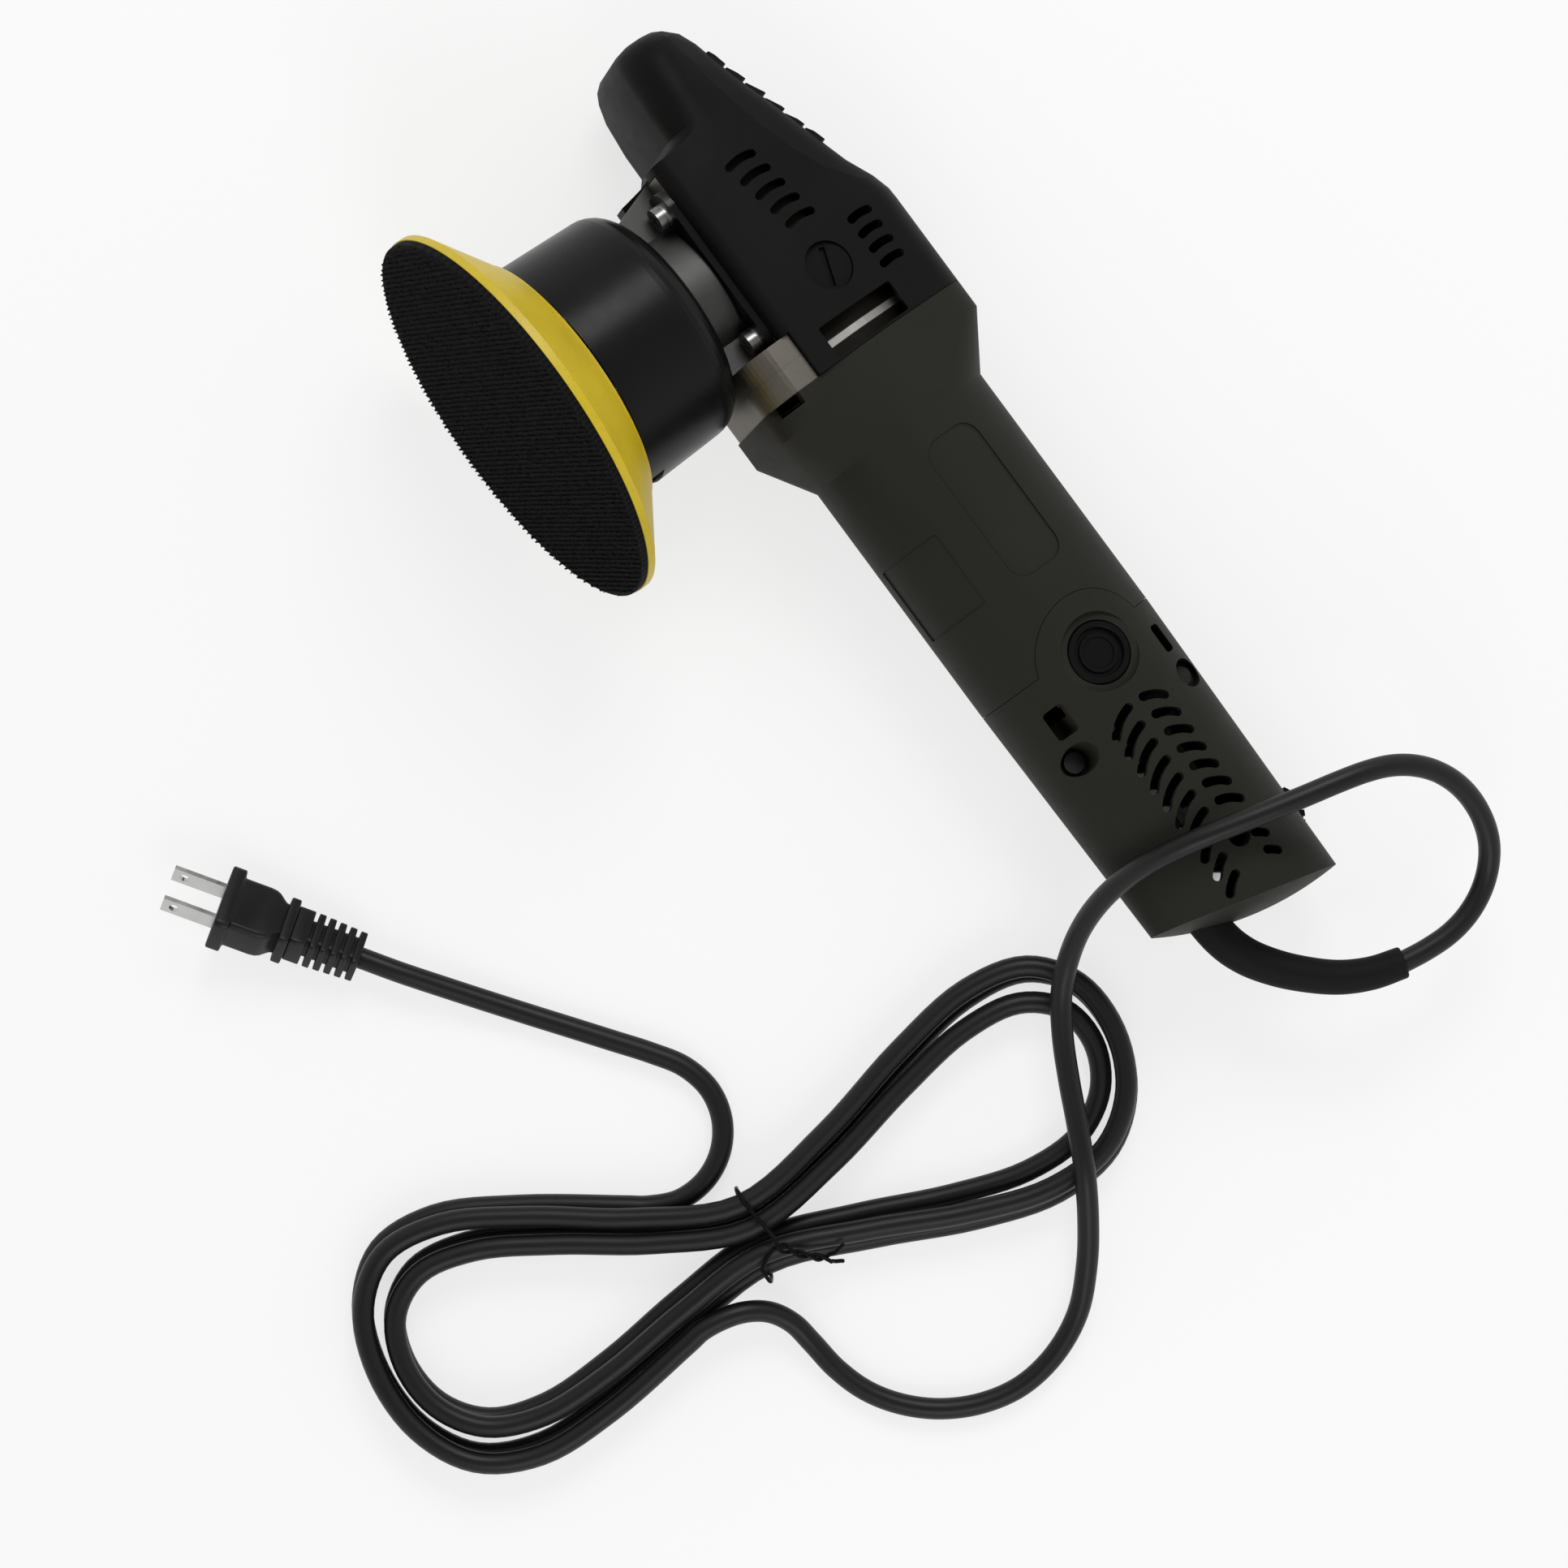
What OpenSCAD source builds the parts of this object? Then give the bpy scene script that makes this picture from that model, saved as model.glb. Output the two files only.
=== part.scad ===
// Dual action polisher with its mains lead, lying on its flank.
// Each piece is drawn upright first: x runs from the head to the tail along the motor,
// z is up, the spindle turns about z at x = 0 and the motor turns about x at z = 0.
// lying() then rolls the tool on to its flank, so that the plate's rim and the barrel touch the table.

/* [Backing plate] */
// Diameter of the hook face
plate_d = 132; // [124:1:140]
// Depth of the hook face below the motor's axis
plate_drop = 102; // [100:0.5:106]
// Thickness of the hook disc
hook_t = 2; // [1.2:0.1:3]
// Height of the urethane cone without the hook disc
cone_h = 18.4; // [15:0.1:19]
// Diameter of the urethane cone at its back
cone_back_d = 90; // [82:1:96]
// Height of the upright rim below the cone
rim_h = 2.6; // [1.5:0.1:4]
// Diameter of the steel hub let into the back
hub_d = 72; // [60:1:78]
// Thickness of the steel hub
hub_t = 2.4; // [1.6:0.1:3]
// Number of hub rivets
rivet_count = 6; // [4:1:8]
// Diameter of the rivets
rivet_d = 5; // [4:0.5:6]

/* [Orbit drive] */
// Offset of the plate's axis from the drive axis
orbit_offset = 4; // [3:0.5:5]
// Height of the eccentric housing
eccentric_h = 29; // [28:0.5:29.4]
// Wall of the eccentric housing outside its bearings
eccentric_wall = 4.5; // [3:0.5:6]
// Outer radius of the counterweight
weight_r = 34; // [30:0.5:35]
// Height of the counterweight
weight_h = 16; // [12:0.5:20]
// Length of the spindle that sits in the eccentric
spindle_seat = 7; // [5:0.5:7.5]
// Number of teeth on the crown gear
crown_teeth = 41; // [41]
// Number of teeth on the pinion
pinion_teeth = 10; // [10]
// Tooth module at the large end
tooth_module = 0.98; // [0.9:0.02:1]
// Face width of the teeth
tooth_face = 6.5; // [5:0.5:7]

/* [Head] */
// Reach of the nose in front of the spindle
nose_reach = 75; // [71:1:81]
// Height of the head's top above the motor's axis
head_top = 42.2; // [41:0.2:43]
// Depth of the cover's lower edge below the motor's axis
cover_drop = 23.4; // [22:0.2:23.4]
// Wall of the moulded covers
cover_wall = 2.4; // [1.8:0.1:3]
// Thickness of the rubber on the nose
grip_t = 1.6; // [1:0.1:2]
// Number of ledges across the rubber
grip_ledges = 6; // [4:1:8]
// Diameter of the plugs in the side handle sockets
handle_plug_d = 16; // [13:0.5:18]
// Diameter of the side handle thread
handle_thread_d = 8; // [6:1:10]
// Radius of the spindle's neck
neck_r = 22.8; // [21:0.2:24]
// Depth of the neck's end below the motor's axis
neck_drop = 45; // [44:0.5:45.5]
// Height of the shroud
shroud_h = 40.4; // [38:0.2:41]
// Outer diameter of the shroud at its rim
shroud_d = 83.2; // [80:0.4:86]
// Wall of the shroud
shroud_wall = 3; // [2:0.2:3.4]
// Width of the spanner notch in the shroud's rim
spanner_w = 20; // [18:1:24]
// Height of the spanner notch
spanner_h = 6; // [5:0.5:8]

/* [Barrel] */
// Diameter of the motor barrel
barrel_d = 64.5; // [63:0.5:66]
// Wall of the motor barrel
barrel_wall = 3.6; // [2.6:0.2:4]
// Station of the joint between head cover and barrel
cover_joint = 45.6; // [45.2:0.2:47]
// Station where the collar has run out into the barrel
collar_end = 72; // [68:1:76]
// Station of the joint between barrel and rear handle
handle_joint = 162.5; // [161:0.5:164]
// Station of the brush caps
brush_x = 167; // [166:0.5:168]
// Diameter of the brush caps
brush_cap_d = 20.5; // [18:0.5:22]

/* [Rear handle] */
// Station of the rearmost point
tail_x = 267; // [262:1:272]
// Diameter of the handle at its tail
tail_d = 61; // [58:0.5:63]
// Radius of the domed end
tail_dome_r = 102.5; // [95:0.5:115]
// Height of the dome's centre above the motor's axis
tail_dome_z = 25.5; // [22:0.5:28]
// Wall of the rear handle
handle_wall = 2.6; // [2:0.1:3.2]
// Number of slots in one row of the vent
vent_count = 10; // [8:1:10]
// Pitch of the vent slots
vent_pitch = 6.7; // [6:0.1:6.8]
// Width of a vent slot
vent_w = 3; // [2.4:0.1:3.4]
// Width of the switch opening
switch_w = 12; // [10:0.5:13]
// Length of the switch opening
switch_l = 20; // [18:0.5:21]
// Diameter of the speed dial
dial_d = 21; // [19:0.5:22]
// Thickness of the speed dial
dial_t = 6; // [5:0.5:7]

/* [Motor] */
// Diameter of the rotor as a share of the barrel's
rotor_share = 0.512; // [0.49:0.002:0.53]
// Length of the lamination stacks
stack_l = 46; // [42:1:50]
// Air gap between rotor and stator
air_gap = 0.5; // [0.4:0.1:0.8]
// Diameter of the commutator
commutator_d = 22; // [20:0.5:23]
// Diameter of the cooling fan
fan_d = 50; // [46:1:52]
// Number of fan blades
fan_blades = 14; // [10:1:18]

/* [Cord] */
// Diameter of the mains cord
cord_d = 7.1; // [6.8:0.1:7.2]
// Diameter of the sleeve at the tail
sleeve_root_d = 13; // [12:0.5:14]
// Diameter of the sleeve at its free end
sleeve_tip_d = 10.4; // [9:0.2:11]
// Depth of the cord exit below the motor's axis
exit_drop = 13.8; // [12:0.2:16]
// Width of the plug's flange
plug_w = 25; // [22:0.5:28]
// Height of the plug's flange
plug_h = 15.5; // [14:0.5:18]
// Length of the plug body without its blades
plug_l = 48; // [44:1:54]

/* [Hidden] */
// Clearances
fit = 0.05;
run = 0.3;
seam = 0.2;
// Overshoot of a cut past the face that it opens
cut = 1;

barrel_r = barrel_d / 2;
tail_r = tail_d / 2;
plate_r = plate_d / 2;
shroud_r = shroud_d / 2;
rotor_r = barrel_r * rotor_share;

// The roll at which the plate's rim and the barrel touch the same table
rim_reach = plate_r - orbit_offset;
rim_drop = plate_drop - hook_t - rim_h;
roll = acos(barrel_r / norm([rim_reach, rim_drop])) - atan(rim_drop / rim_reach);
hook_r = plate_r - 0.4;

// Heights along the spindle
hook_z = -plate_drop;
cone_z = hook_z + hook_t;
plate_back_z = cone_z + cone_h;
shroud_top_z = -38.3;
shroud_rim_z = shroud_top_z - shroud_h;
neck_z = -neck_drop;
eccentric_top_z = neck_z - 1.5;
eccentric_z = eccentric_top_z - eccentric_h;
case_z = -23.5;
flange_t = 2.4;
spindle_bearing = [7.5, 17.5, 11];
plate_bearing = [6, 14, 8];
front_bearing = [6, 14, 8];
rear_bearing = [4, 11, 7];
needle_bearing = [4.5, 6.5, 10];
spindle_bearing_z = neck_z + 6.5;
lower_plate_bearing_z = eccentric_z + 0.6;
upper_plate_bearing_z = eccentric_top_z - spindle_seat - 1 - plate_bearing[2];

// Bevel pair whose cones meet where the two axes cross
crown_r = crown_teeth * tooth_module / 2;
pinion_r = pinion_teeth * tooth_module / 2;
cone_len = norm([crown_r, pinion_r]);
tooth_taper = 1 - tooth_face / cone_len;
addendum = 0.75 * tooth_module;
dedendum = 1.1 * tooth_module;
tooth_sink = 0.4 * tooth_module;
tooth_tip_half = 0.34 * tooth_module;
tooth_root_half = 0.9 * tooth_module;
// Depth of the root cone below the crossing of the axes, at the large end
crown_root_z = -pinion_r - dedendum * crown_r / cone_len;
crown_back_z = -15;
crown_bore = 6;
pinion_hub_r = 5.6;
pinion_hub_end = 29;

// Stations along the motor
case_front = -34.8;
flange_x = 29.2;
plate_x = 37;
housing_x = cover_joint + seam;
plate_end = housing_x - fit;
front_bearing_x = plate_end - 1 - fit - front_bearing[2];
fan_x = 56;
fan_l = 9;
baffle_x = 68;
baffle_t = 3;
stack_x = 86;
coil_l = 12;
commutator_x = brush_x - 8;
commutator_l = 15;
bridge_x = commutator_x + commutator_l + 3;
shaft_end = bridge_x + rear_bearing[2] + 2;
shaft_r = 5;
bore_r = barrel_r - barrel_wall;
handle_bore = barrel_r - handle_wall;
spot_r = brush_cap_d / 2 + 3.8;
spot_y = 29.6;
tongue_r = brush_cap_d / 2 + 10;
neck_screw = [24, 20];
neck_screw_r = 2.2;
neck_screw_head = [4, 3];
washer_t = 1.2;

// Rear handle stations
vent_x = 186;
vent_arc_r = 14;
vent_z = -0.8;
vent_rows = [[12, 44], [-54, -12]];
tail_hole = [239, 1];
tail_hole_r = 3.8;
screw_seat_r = 5;
screw_seats = [[190.5, -23.2, screw_seat_r], [189, 22.6, screw_seat_r], concat(tail_hole, tail_hole_r)];
snap_slots = [[177.5, -21.8, 10.2, 6], [175.3, 22, 10, 4]];
switch_x = 208;
switch_z = barrel_r - 4.25;
dial_x = 243;
dial_z = tail_r - 6.5;
dial_pin_r = 1.8;
board_z = handle_wall + 10.15 - barrel_r;
board_x = [198, 219];
clamp_x = 224;

// Head outline: station, half width, top, bottom, corner radius
top_corner = [10.8, 13.8];
low_corner = [15.5, -25.8, 13.8];
head_half = barrel_r - 0.25;
head_stations = [
    [-nose_reach, head_half - 17, 7.5, -2.5, 5],
    [-nose_reach + 0.9, head_half - 12, 11, -6, 7.5],
    [-nose_reach + 2.8, head_half - 8, 13.6, -7.9, 9.5],
    [-nose_reach + 6, head_half - 5, 15.9, -9.2, 11],
    [-nose_reach + 12, head_half - 2.8, 17.6, -10.3, 11],
    [-nose_reach + 24, head_half - 2, 20.4, -11.3, 11],
    [-42, head_half - 1.6, 23, -11.3, 11],
    [-39.6, head_half - 1.4, 23.8, -13, 9],
    [-38.4, head_half - 1.2, 24.1, -17, 7],
    [-37.6, head_half - 1, 24.4, -cover_drop, 5],
    [-26, head_half - 0.6, 27.8, -cover_drop, 5],
    [-6, head_half - 0.3, head_top - 6.2, -cover_drop, 5],
    [3, head_half - 0.2, head_top - 2, -cover_drop, 5],
    [9, head_half, head_top - 0.2, -cover_drop, 5],
    [13, head_half, head_top, -cover_drop, 5],
    [cover_joint, head_half, head_top, -cover_drop, 5]];
cover_edge = 20.2;
skirt_x = -37.6;
// Arch in the front of the skirt: depth of its middle, radius
skirt_arch = [37, 23];
// Lower edge of the rubber on the nose: station and height
grip_edge = [[-nose_reach - cut, 7], [-62, 8.6], [-47, 11], [-29, 14.8], [-18, 19], [-7, 25], [2, 32.5],
    [6.5, head_top + cut]];
// Ledges across the rubber: first steep face, pitch, ramp, height
ledge_x = -52.6;
ledge_pitch = 7.5;
ledge_ramp = 6.2;
ledge_h = 1.3;
function head_height(x) = lookup(x, [for (h = head_stations) [h[0], h[2]]]);

// Collar outline, as discs: across, up, radius
collar_discs = [[0, 0, barrel_r], [top_corner[0], head_top - top_corner[1], top_corner[1]],
    [-top_corner[0], head_top - top_corner[1], top_corner[1]],
    [low_corner[0], low_corner[1], low_corner[2]], [-low_corner[0], low_corner[1], low_corner[2]]];

// Middle of the tool's box, which becomes the origin
box_high_y = (head_top - top_corner[1]) * cos(roll) + top_corner[0] * sin(roll) + top_corner[1];
box_low_y = hook_z * cos(roll) - (hook_r - orbit_offset) * sin(roll);
box_x = (tail_x - nose_reach) / 2;
box_y = (box_high_y + box_low_y) / 2;

// Cord routes on the table: along the handle, across it, height above the table
exit_y = -exit_drop * cos(roll);
exit_z = barrel_r + exit_drop * sin(roll);
sleeve_route = [[clamp_x, exit_y, exit_z], [262, exit_y, exit_z], [272, -10.5, 35.5], [281, -5, 35.2],
    [289, 2, 34.8], [296, 10, 34.5], [301, 19, 34.4], [304, 28.5, 34.4]];
lead_route = [[304, 28.5, 34.4], [305.3, 37, 34], [305.7, 46, 33.6], [304.4, 54, 33.4], [301.3, 61.5,
    33.6],
    [296.6, 67.8, 35], [290.4, 72.6, 38.2], [283, 75.3, 42.3], [275, 76, 46.8], [267.2, 74.7, 51.5],
    [260, 71.4, 55.8], [254, 66.3, 60], [249.5, 60, 63.4], [246.3, 52.5, 66.3], [243.8, 44, 68.4],
    [241.3, 34, 69.8], [238.5, 23, 70.6], [234.8, 9, 70.7], [231.2, -5.5, 69], [229, -19.5, 63],
    [229.5, -32, 52.5], [233, -44, 40.5], [239, -54, 30], [247.5, -63.5, 24], [259, -71.5, 21.5],
    [272, -78.5, 20.5], [285.5, -85, 19.5], [299, -92, 19], [312, -100, 14.5], [324, -109, 9.5],
    [335.5, -121, 5.6], [342, -135, 4], [343.8, -149.5, 3.55], [340.8, -163, 3.55], [334.3, -175, 3.55],
    [325.3, -184.5, 3.55], [315, -191, 3.55], [303.5, -194.5, 3.8], [292, -195.7, 4.8], [283, -196.9, 6.8],
    [275.4, -200.9, 9.2], [270, -208.6, 11.5]];
plug_route = [[229.5, -202.7, 5], [229.4, -192.3, 4.6], [224.9, -182.9, 4.2], [216.9, -176.3, 3.8],
    [206.8, -173.7, 3.55], [196, -175.8, 3.55], [186, -181.8, 3.55], [175.5, -189.4, 3.55],
    [164.5, -197.4, 3.55], [153, -205.8, 3.7], [141, -214.4, 4.6], [128.5, -223.2, 6.2],
    [116.5, -231.5, 8]];
plug_turn = 213;
plug_roll = 40;
plug_pitch = 6;
plug_corner = 2.5;
plug_rise = (plug_w / 2 - plug_corner) * sin(plug_roll) + (plug_h / 2 - plug_corner) * cos(plug_roll) +
    plug_corner;
plug_at = [105, -239, plug_rise * cos(plug_pitch) - (plug_l - 5) * sin(plug_pitch) + 0.05];

// Hank: its waist on the table, its run, and how its loops lie
hank_at = [252.5, -189.8];
hank_turn = 78.3;
hank_reach = [140, 131];
hank_turns = 3.5;
hank_steps = 24;
hank_pitch = cord_d + 1.4;
hank_layer = cord_d + 0.8;
hank_lift = 2.6;
hank_lift_span = 32;
hank_tip_step = 9;
hank_swell = [54, 14];
hank_soft = 0.15;
hank_bow = [6, 50];
tie_d = 1.4;

$fn = 64;

// Colours
olive = "#4b4b45";
black = "#1b1b1c";
satin = "#111112";
alloy = "#a9a7a2";
steel = "#c4c4c4";
copper = "#b06a3a";

// Places the upright tool on its flank with the middle of its box over the origin
module lying() {
    translate([-box_x, -box_y, barrel_r]) rotate([-(90 + roll), 0, 0]) children();
}

// Places what already lies on the table
module on_table() {
    translate([-box_x, -box_y, 0]) children();
}

module both_flanks() {
    children();
    mirror([0, 1, 0]) children();
}

module rod_x(x0, x1, r) {
    translate([x0, 0, 0]) rotate([0, 90, 0]) cylinder(r = r, h = x1 - x0);
}

module rod_y(x, z, y0, y1, r) {
    translate([x, y0, z]) rotate([-90, 0, 0]) cylinder(r = r, h = y1 - y0);
}

module rod_z(z0, z1, r) {
    translate([0, 0, z0]) cylinder(r = r, h = z1 - z0);
}

module ring_x(x0, x1, r_in, r_out) {
    difference() {
        rod_x(x0, x1, r_out);
        rod_x(x0 - cut, x1 + cut, r_in);
    }
}

module ring_z(z0, z1, r_in, r_out) {
    difference() {
        rod_z(z0, z1, r_out);
        rod_z(z0 - cut, z1 + cut, r_in);
    }
}

// Turns a profile of [station, radius] points about the motor's axis
module turned_x(profile) {
    rotate([0, 90, 0]) rotate_extrude() polygon([for (p = profile) [p[1], p[0]]]);
}

// A box between two corners
module block(low, high) {
    translate(low) cube(high - low);
}

// Convex outline round a set of discs, taken at even directions
function reach(disc, d) = disc[0] * d[0] + disc[1] * d[1] + disc[2];
function furthest(discs, d, i = 0, best = 0) = i == len(discs) ? best
    : furthest(discs, d, i + 1, reach(discs[i], d) > reach(discs[best], d) ? i : best);
function outline(discs, sides) = [for (k = [0:sides - 1])
    let (a = 360 * (k + 0.5) / sides, d = [cos(a), sin(a)], c = discs[furthest(discs, d)])
    [c[0] + c[2] * d[0], c[1] + c[2] * d[1]]];
function inset(discs, t) = [for (c = discs) [c[0], c[1], c[2] - t]];

// Skin over rings of points, each ring counter-clockwise when seen against its direction of travel
module skin(rings) {
    n = len(rings[0]);
    last = len(rings) - 1;
    sides = [for (i = [0:last - 1], k = [0:n - 1])
        let (a = i * n + k, b = i * n + (k + 1) % n) each [[a, a + n, b + n], [a, b + n, b]]];
    caps = [[for (k = [0:n - 1]) k], [for (k = [n - 1:-1:0]) last * n + k]];
    polyhedron([for (r = rings) each r], concat(sides, caps));
}

// Skin over outlines that stand across the motor's axis
module loft_x(stations) {
    skin([for (s = stations) [for (p = s[1]) [s[0], p[0], p[1]]]]);
}

// A prism along the motor's axis
module prism_x(x0, x1, points) {
    translate([x0, 0, 0]) rotate([90, 0, 90]) linear_extrude(x1 - x0) polygon(points);
}

// A prism across the tool, from a side view outline of [x, z] points
module prism_y(y0, y1, points) {
    translate([0, y1, 0]) rotate([90, 0, 0]) linear_extrude(y1 - y0) polygon(points);
}

// Side view outline of a slot that follows an arc and has round ends
function arc_slot(centre, r, w, a0, a1, steps = 8) = concat(
    [for (k = [0:steps]) let (a = a0 + (a1 - a0) * k / steps) centre + (r + w / 2) * [-cos(a), sin(a)]],
    slot_end(centre, r, w / 2, a1),
    [for (k = [steps:-1:0]) let (a = a0 + (a1 - a0) * k / steps) centre + (r - w / 2) * [-cos(a),
        sin(a)]],
    slot_end(centre, r, -w / 2, a0));
function slot_end(centre, r, bulge, a, steps = 5) = [for (k = [1:steps - 1]) let (b = 180 * k / steps)
    centre + (r + bulge * cos(b)) * [-cos(a), sin(a)] + bulge * sin(b) * [sin(a), cos(a)]];

// Side view outline of a rectangle with round corners
function round_rect(x, z, w, h, r, steps = 4) = [for (q = [0:3], k = [0:steps])
    let (a = 90 * q + 90 * k / steps, sx = (q == 0 || q == 3) ? 1 : -1, sz = q < 2 ? 1 : -1)
    [x + sx * (w / 2 - r) + r * cos(a), z + sz * (h / 2 - r) + r * sin(a)]];

// A point of a smooth curve through a route, t counting its points
function blend(a, b, c, d, u) = 0.5 * (2 * b + (c - a) * u + (2 * a - 5 * b + 4 * c - d) * u * u
    + (3 * b - a - 3 * c + d) * u * u * u);
function along(route, t) = let (last = len(route) - 1, i = min(floor(t), last - 1), u = t - i,
    p0 = route[max(i - 1, 0)], p3 = route[min(i + 2, last)]) blend(p0, route[i], route[i + 1], p3, u);
function smooth(route, parts) = [for (k = [0:(len(route) - 1) * parts]) along(route, k / parts)];

// Tube along a list of points, with a radius for its start and its end
function unit(v) = v / norm(v);
function heading(p, i) = unit(p[min(i + 1, len(p) - 1)] - p[max(i - 1, 0)]);
function tube_ring(centre, t, r, sides) = let (side = unit(cross([0, 0, 1], t)), up = cross(t, side))
    [for (k = [0:sides - 1]) let (a = 360 * (k + 0.5) / sides) centre + r * (cos(a) * side + sin(a) * up)];
module tube(points, r0, r1, sides) {
    last = len(points) - 1;
    skin([for (i = [0:last]) tube_ring(points[i], heading(points, i), r0 + (r1 - r0) * i / last, sides)]);
}

// Hank: distance out of the middle, counted in turns, is greatest at both ends
function hank_out(t) = norm([t - hank_turns / 2, hank_soft]);
function hank_flat(t) = let (a = 90 + 360 * t, out = hank_out(t), most = hank_out(0),
    run = hank_reach[cos(a) > 0 ? 0 : 1] - hank_tip_step * (most - out), u = run * cos(a),
    v = sin(a) * (hank_pitch * out + (hank_swell[0] + hank_swell[1] * out) * pow(abs(cos(a)), 1.5)))
    [u, v + hank_bow[0] * (norm([1, u / hank_bow[1]]) - 1)];
function ease(x) = let (c = min(max(x, 0), 1)) c * c * (3 - 2 * c);
function hank_place(u, v, z) = [hank_at[0] + u * cos(hank_turn) - v * sin(hank_turn),
    hank_at[1] + u * sin(hank_turn) + v * cos(hank_turn), z];
function hank_height(t, u) = cord_d / 2 + hank_layer * ease((t - hank_turns / 2 + 0.25) / 0.5)
    + hank_lift * exp(-pow(u / hank_lift_span, 2));
function hank_point(t) = let (f = hank_flat(t)) hank_place(f[0], f[1], hank_height(t, f[0]));
hank_path = [for (k = [1:hank_turns * hank_steps - 1]) hank_point(k / hank_steps)];
hank_first = hank_path[0];
hank_last = hank_path[len(hank_path) - 1];
hank_lead_in = hank_first + cord_d * unit(hank_first - hank_path[1]);
hank_lead_out = hank_last + cord_d * unit(hank_last - hank_path[len(hank_path) - 2]);

// Least gap of the hank to itself, measured between points on its runs
hank_fine = [for (i = [0:len(hank_path) - 2],
    k = [0:2]) hank_path[i] + (hank_path[i + 1] - hank_path[i]) * k / 3];
hank_apart = 30;
hank_gap = min([for (i = [0:len(hank_fine) - 1], j = [i + hank_apart:1:len(hank_fine) - 1])
    norm(hank_fine[i] - hank_fine[j])]) - cord_d;
echo(hank_gap = hank_gap);
function path_length(p) = len(p) < 2 ? 0 : [for (i = [1:len(p) - 1]) norm(p[i] - p[i - 1])] * [for (i =
    [1:len(p) - 1]) 1];
lead_path = concat(smooth(concat(lead_route, [hank_lead_out]), 2), [hank_last]);
plug_path = concat([hank_first], smooth(concat([hank_lead_in], plug_route, [plug_at]), 2));
echo(cord_length = path_length(lead_path) + path_length(hank_path) + path_length(plug_path));

// Head shape, drawn in by t on every side
function head_discs(s, t) = let (r = s[4] - min(t, s[4] - 0.5), w = s[1] - t, top = s[2] - t,
    low = s[3] + t,
    high = s[2] > 30, rt = high ? top_corner[1] : min(11, (s[2] - s[3]) / 2 - 0.1),
        tw = high ? top_corner[0] : s[1] - rt - 4.5,
    tr = rt - t)
    [[tw, top - tr, tr], [-tw, top - tr, tr], [w - r, low + r, r], [-(w - r), low + r, r],
    [w - 2, min(0, top - tr), 2], [2 - w, min(0, top - tr), 2]];
module head_form(t) {
    sides = 40;
    first = len(head_stations) - 1;
    loft_x([for (i = [0:first]) let (s = head_stations[i],
        nose = t * max(0, 1 - (s[0] + nose_reach) / 14), skirt = s[0] > -43 && s[0] <= skirt_x ? t : 0,
        shift = i == first && t > 0 ? cut : nose + skirt)
        [s[0] + shift, outline(head_discs(s, t), sides)]]);
}

module grip_zone() {
    prism_y(-50, 50, concat(grip_edge, [[-nose_reach - cut, head_top + cut]]));
}

// Gill slots in the flanks of the head, in two groups
module head_gills() {
    both_flanks() {
        for (i = [0:4])
            prism_y(-40, -10, arc_slot([-6 + 6.3 * i, 1 + 1.2 * i], 18, 2.8, -15.5, 15.5));
        for (i = [0:3])
            prism_y(-40, -10, arc_slot([27 + 5.7 * i, 24], 16, 2.8, -13.5, 13.5));
    }
}

module head_shell() {
    difference() {
        head_form(0);
        head_form(cover_wall);
        block([skirt_x + cover_wall, -lip_y, -60], [cover_joint + cut, lip_y,
            -cover_drop + cover_wall + 0.2]);
        block([flange_x - seam, -60, -60], [cover_joint + cut, 60, -cover_edge]);
        translate([0, 0, -skirt_arch[0]]) rod_x(-50, skirt_x + cover_wall + cut, skirt_arch[1]);
        intersection() {
            difference() {
                grip_zone();
                head_form(grip_t);
            }
            block([-100, -60, -20], [8, 60, 60]);
        }
        head_gills();
        both_flanks() {
            rod_y(handle_plug_x, handle_plug_z, -60, -10, handle_plug_d / 2 + seam);
            prism_y(-60, -10, round_rect(39.2, 3, 11, 30, 0.8));
        }
    }
}
handle_plug_x = 19.3;
handle_plug_z = 4;
// How far the plugs lie below the barrel's skin, and the least depth of their heads
handle_plug_sunk = 4;
handle_plug_head = 3.5;
lip_y = 26.2;

module head_cover_left() {
    color(black) lying() intersection() {
        head_shell();
        block([-100, -60, -60], [60, 0, 60]);
    }
}

module head_cover_right() {
    color(black) lying() intersection() {
        head_shell();
        block([-100, 0, -60], [60, 60, 60]);
    }
}

module grip_ledges_zone() {
    for (i = [0:grip_ledges - 1]) let (x = ledge_x + ledge_pitch * i, from = x - ledge_ramp)
        prism_y(-19, 19, [[from, head_height(from) - 3], [x, head_height(x) - 3],
            [x, head_height(x) + ledge_h], [from, head_height(from) - 0.2]]);
}

module grip_pad() {
    color(satin) lying() difference() {
        union() {
            intersection() {
                head_form(0);
                grip_zone();
                block([-100, -60, -20], [8, 60, 60]);
            }
            intersection() {
                head_form(-ledge_h);
                grip_ledges_zone();
            }
        }
        head_form(grip_t);
    }
}

// Coin slot plugs that close the two side handle sockets
module side_handle_plugs() {
    face = max(barrel_r - handle_plug_sunk, case_side + handle_plug_head);
    color(satin) lying() both_flanks() difference() {
        union() {
            rod_y(handle_plug_x, handle_plug_z, -face, -case_side, handle_plug_d / 2);
            rod_y(handle_plug_x, handle_plug_z, -case_side - cut, -case_side + 8, handle_thread_d / 2);
        }
        translate([handle_plug_x, -face, handle_plug_z]) rotate([0, 20, 0])
            cube([handle_plug_d - 3, 3, 2], center = true);
    }
}
// Half widths of the gear case at its foot and beside the motor
case_half_w = 26;
case_side = 24;

// Outline of the metal flanges: proud below the cover, drawn in under it
module flange_form(x0, x1) {
    prism_x(x0, x1, outline(inset(collar_discs, cover_wall + 4.6), 48));
    intersection() {
        prism_x(x0, x1, outline(inset(collar_discs, 0.8), 48));
        block([x0 - cut, -60, -60], [x1 + cut, 60, -cover_edge - seam]);
    }
}

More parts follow.
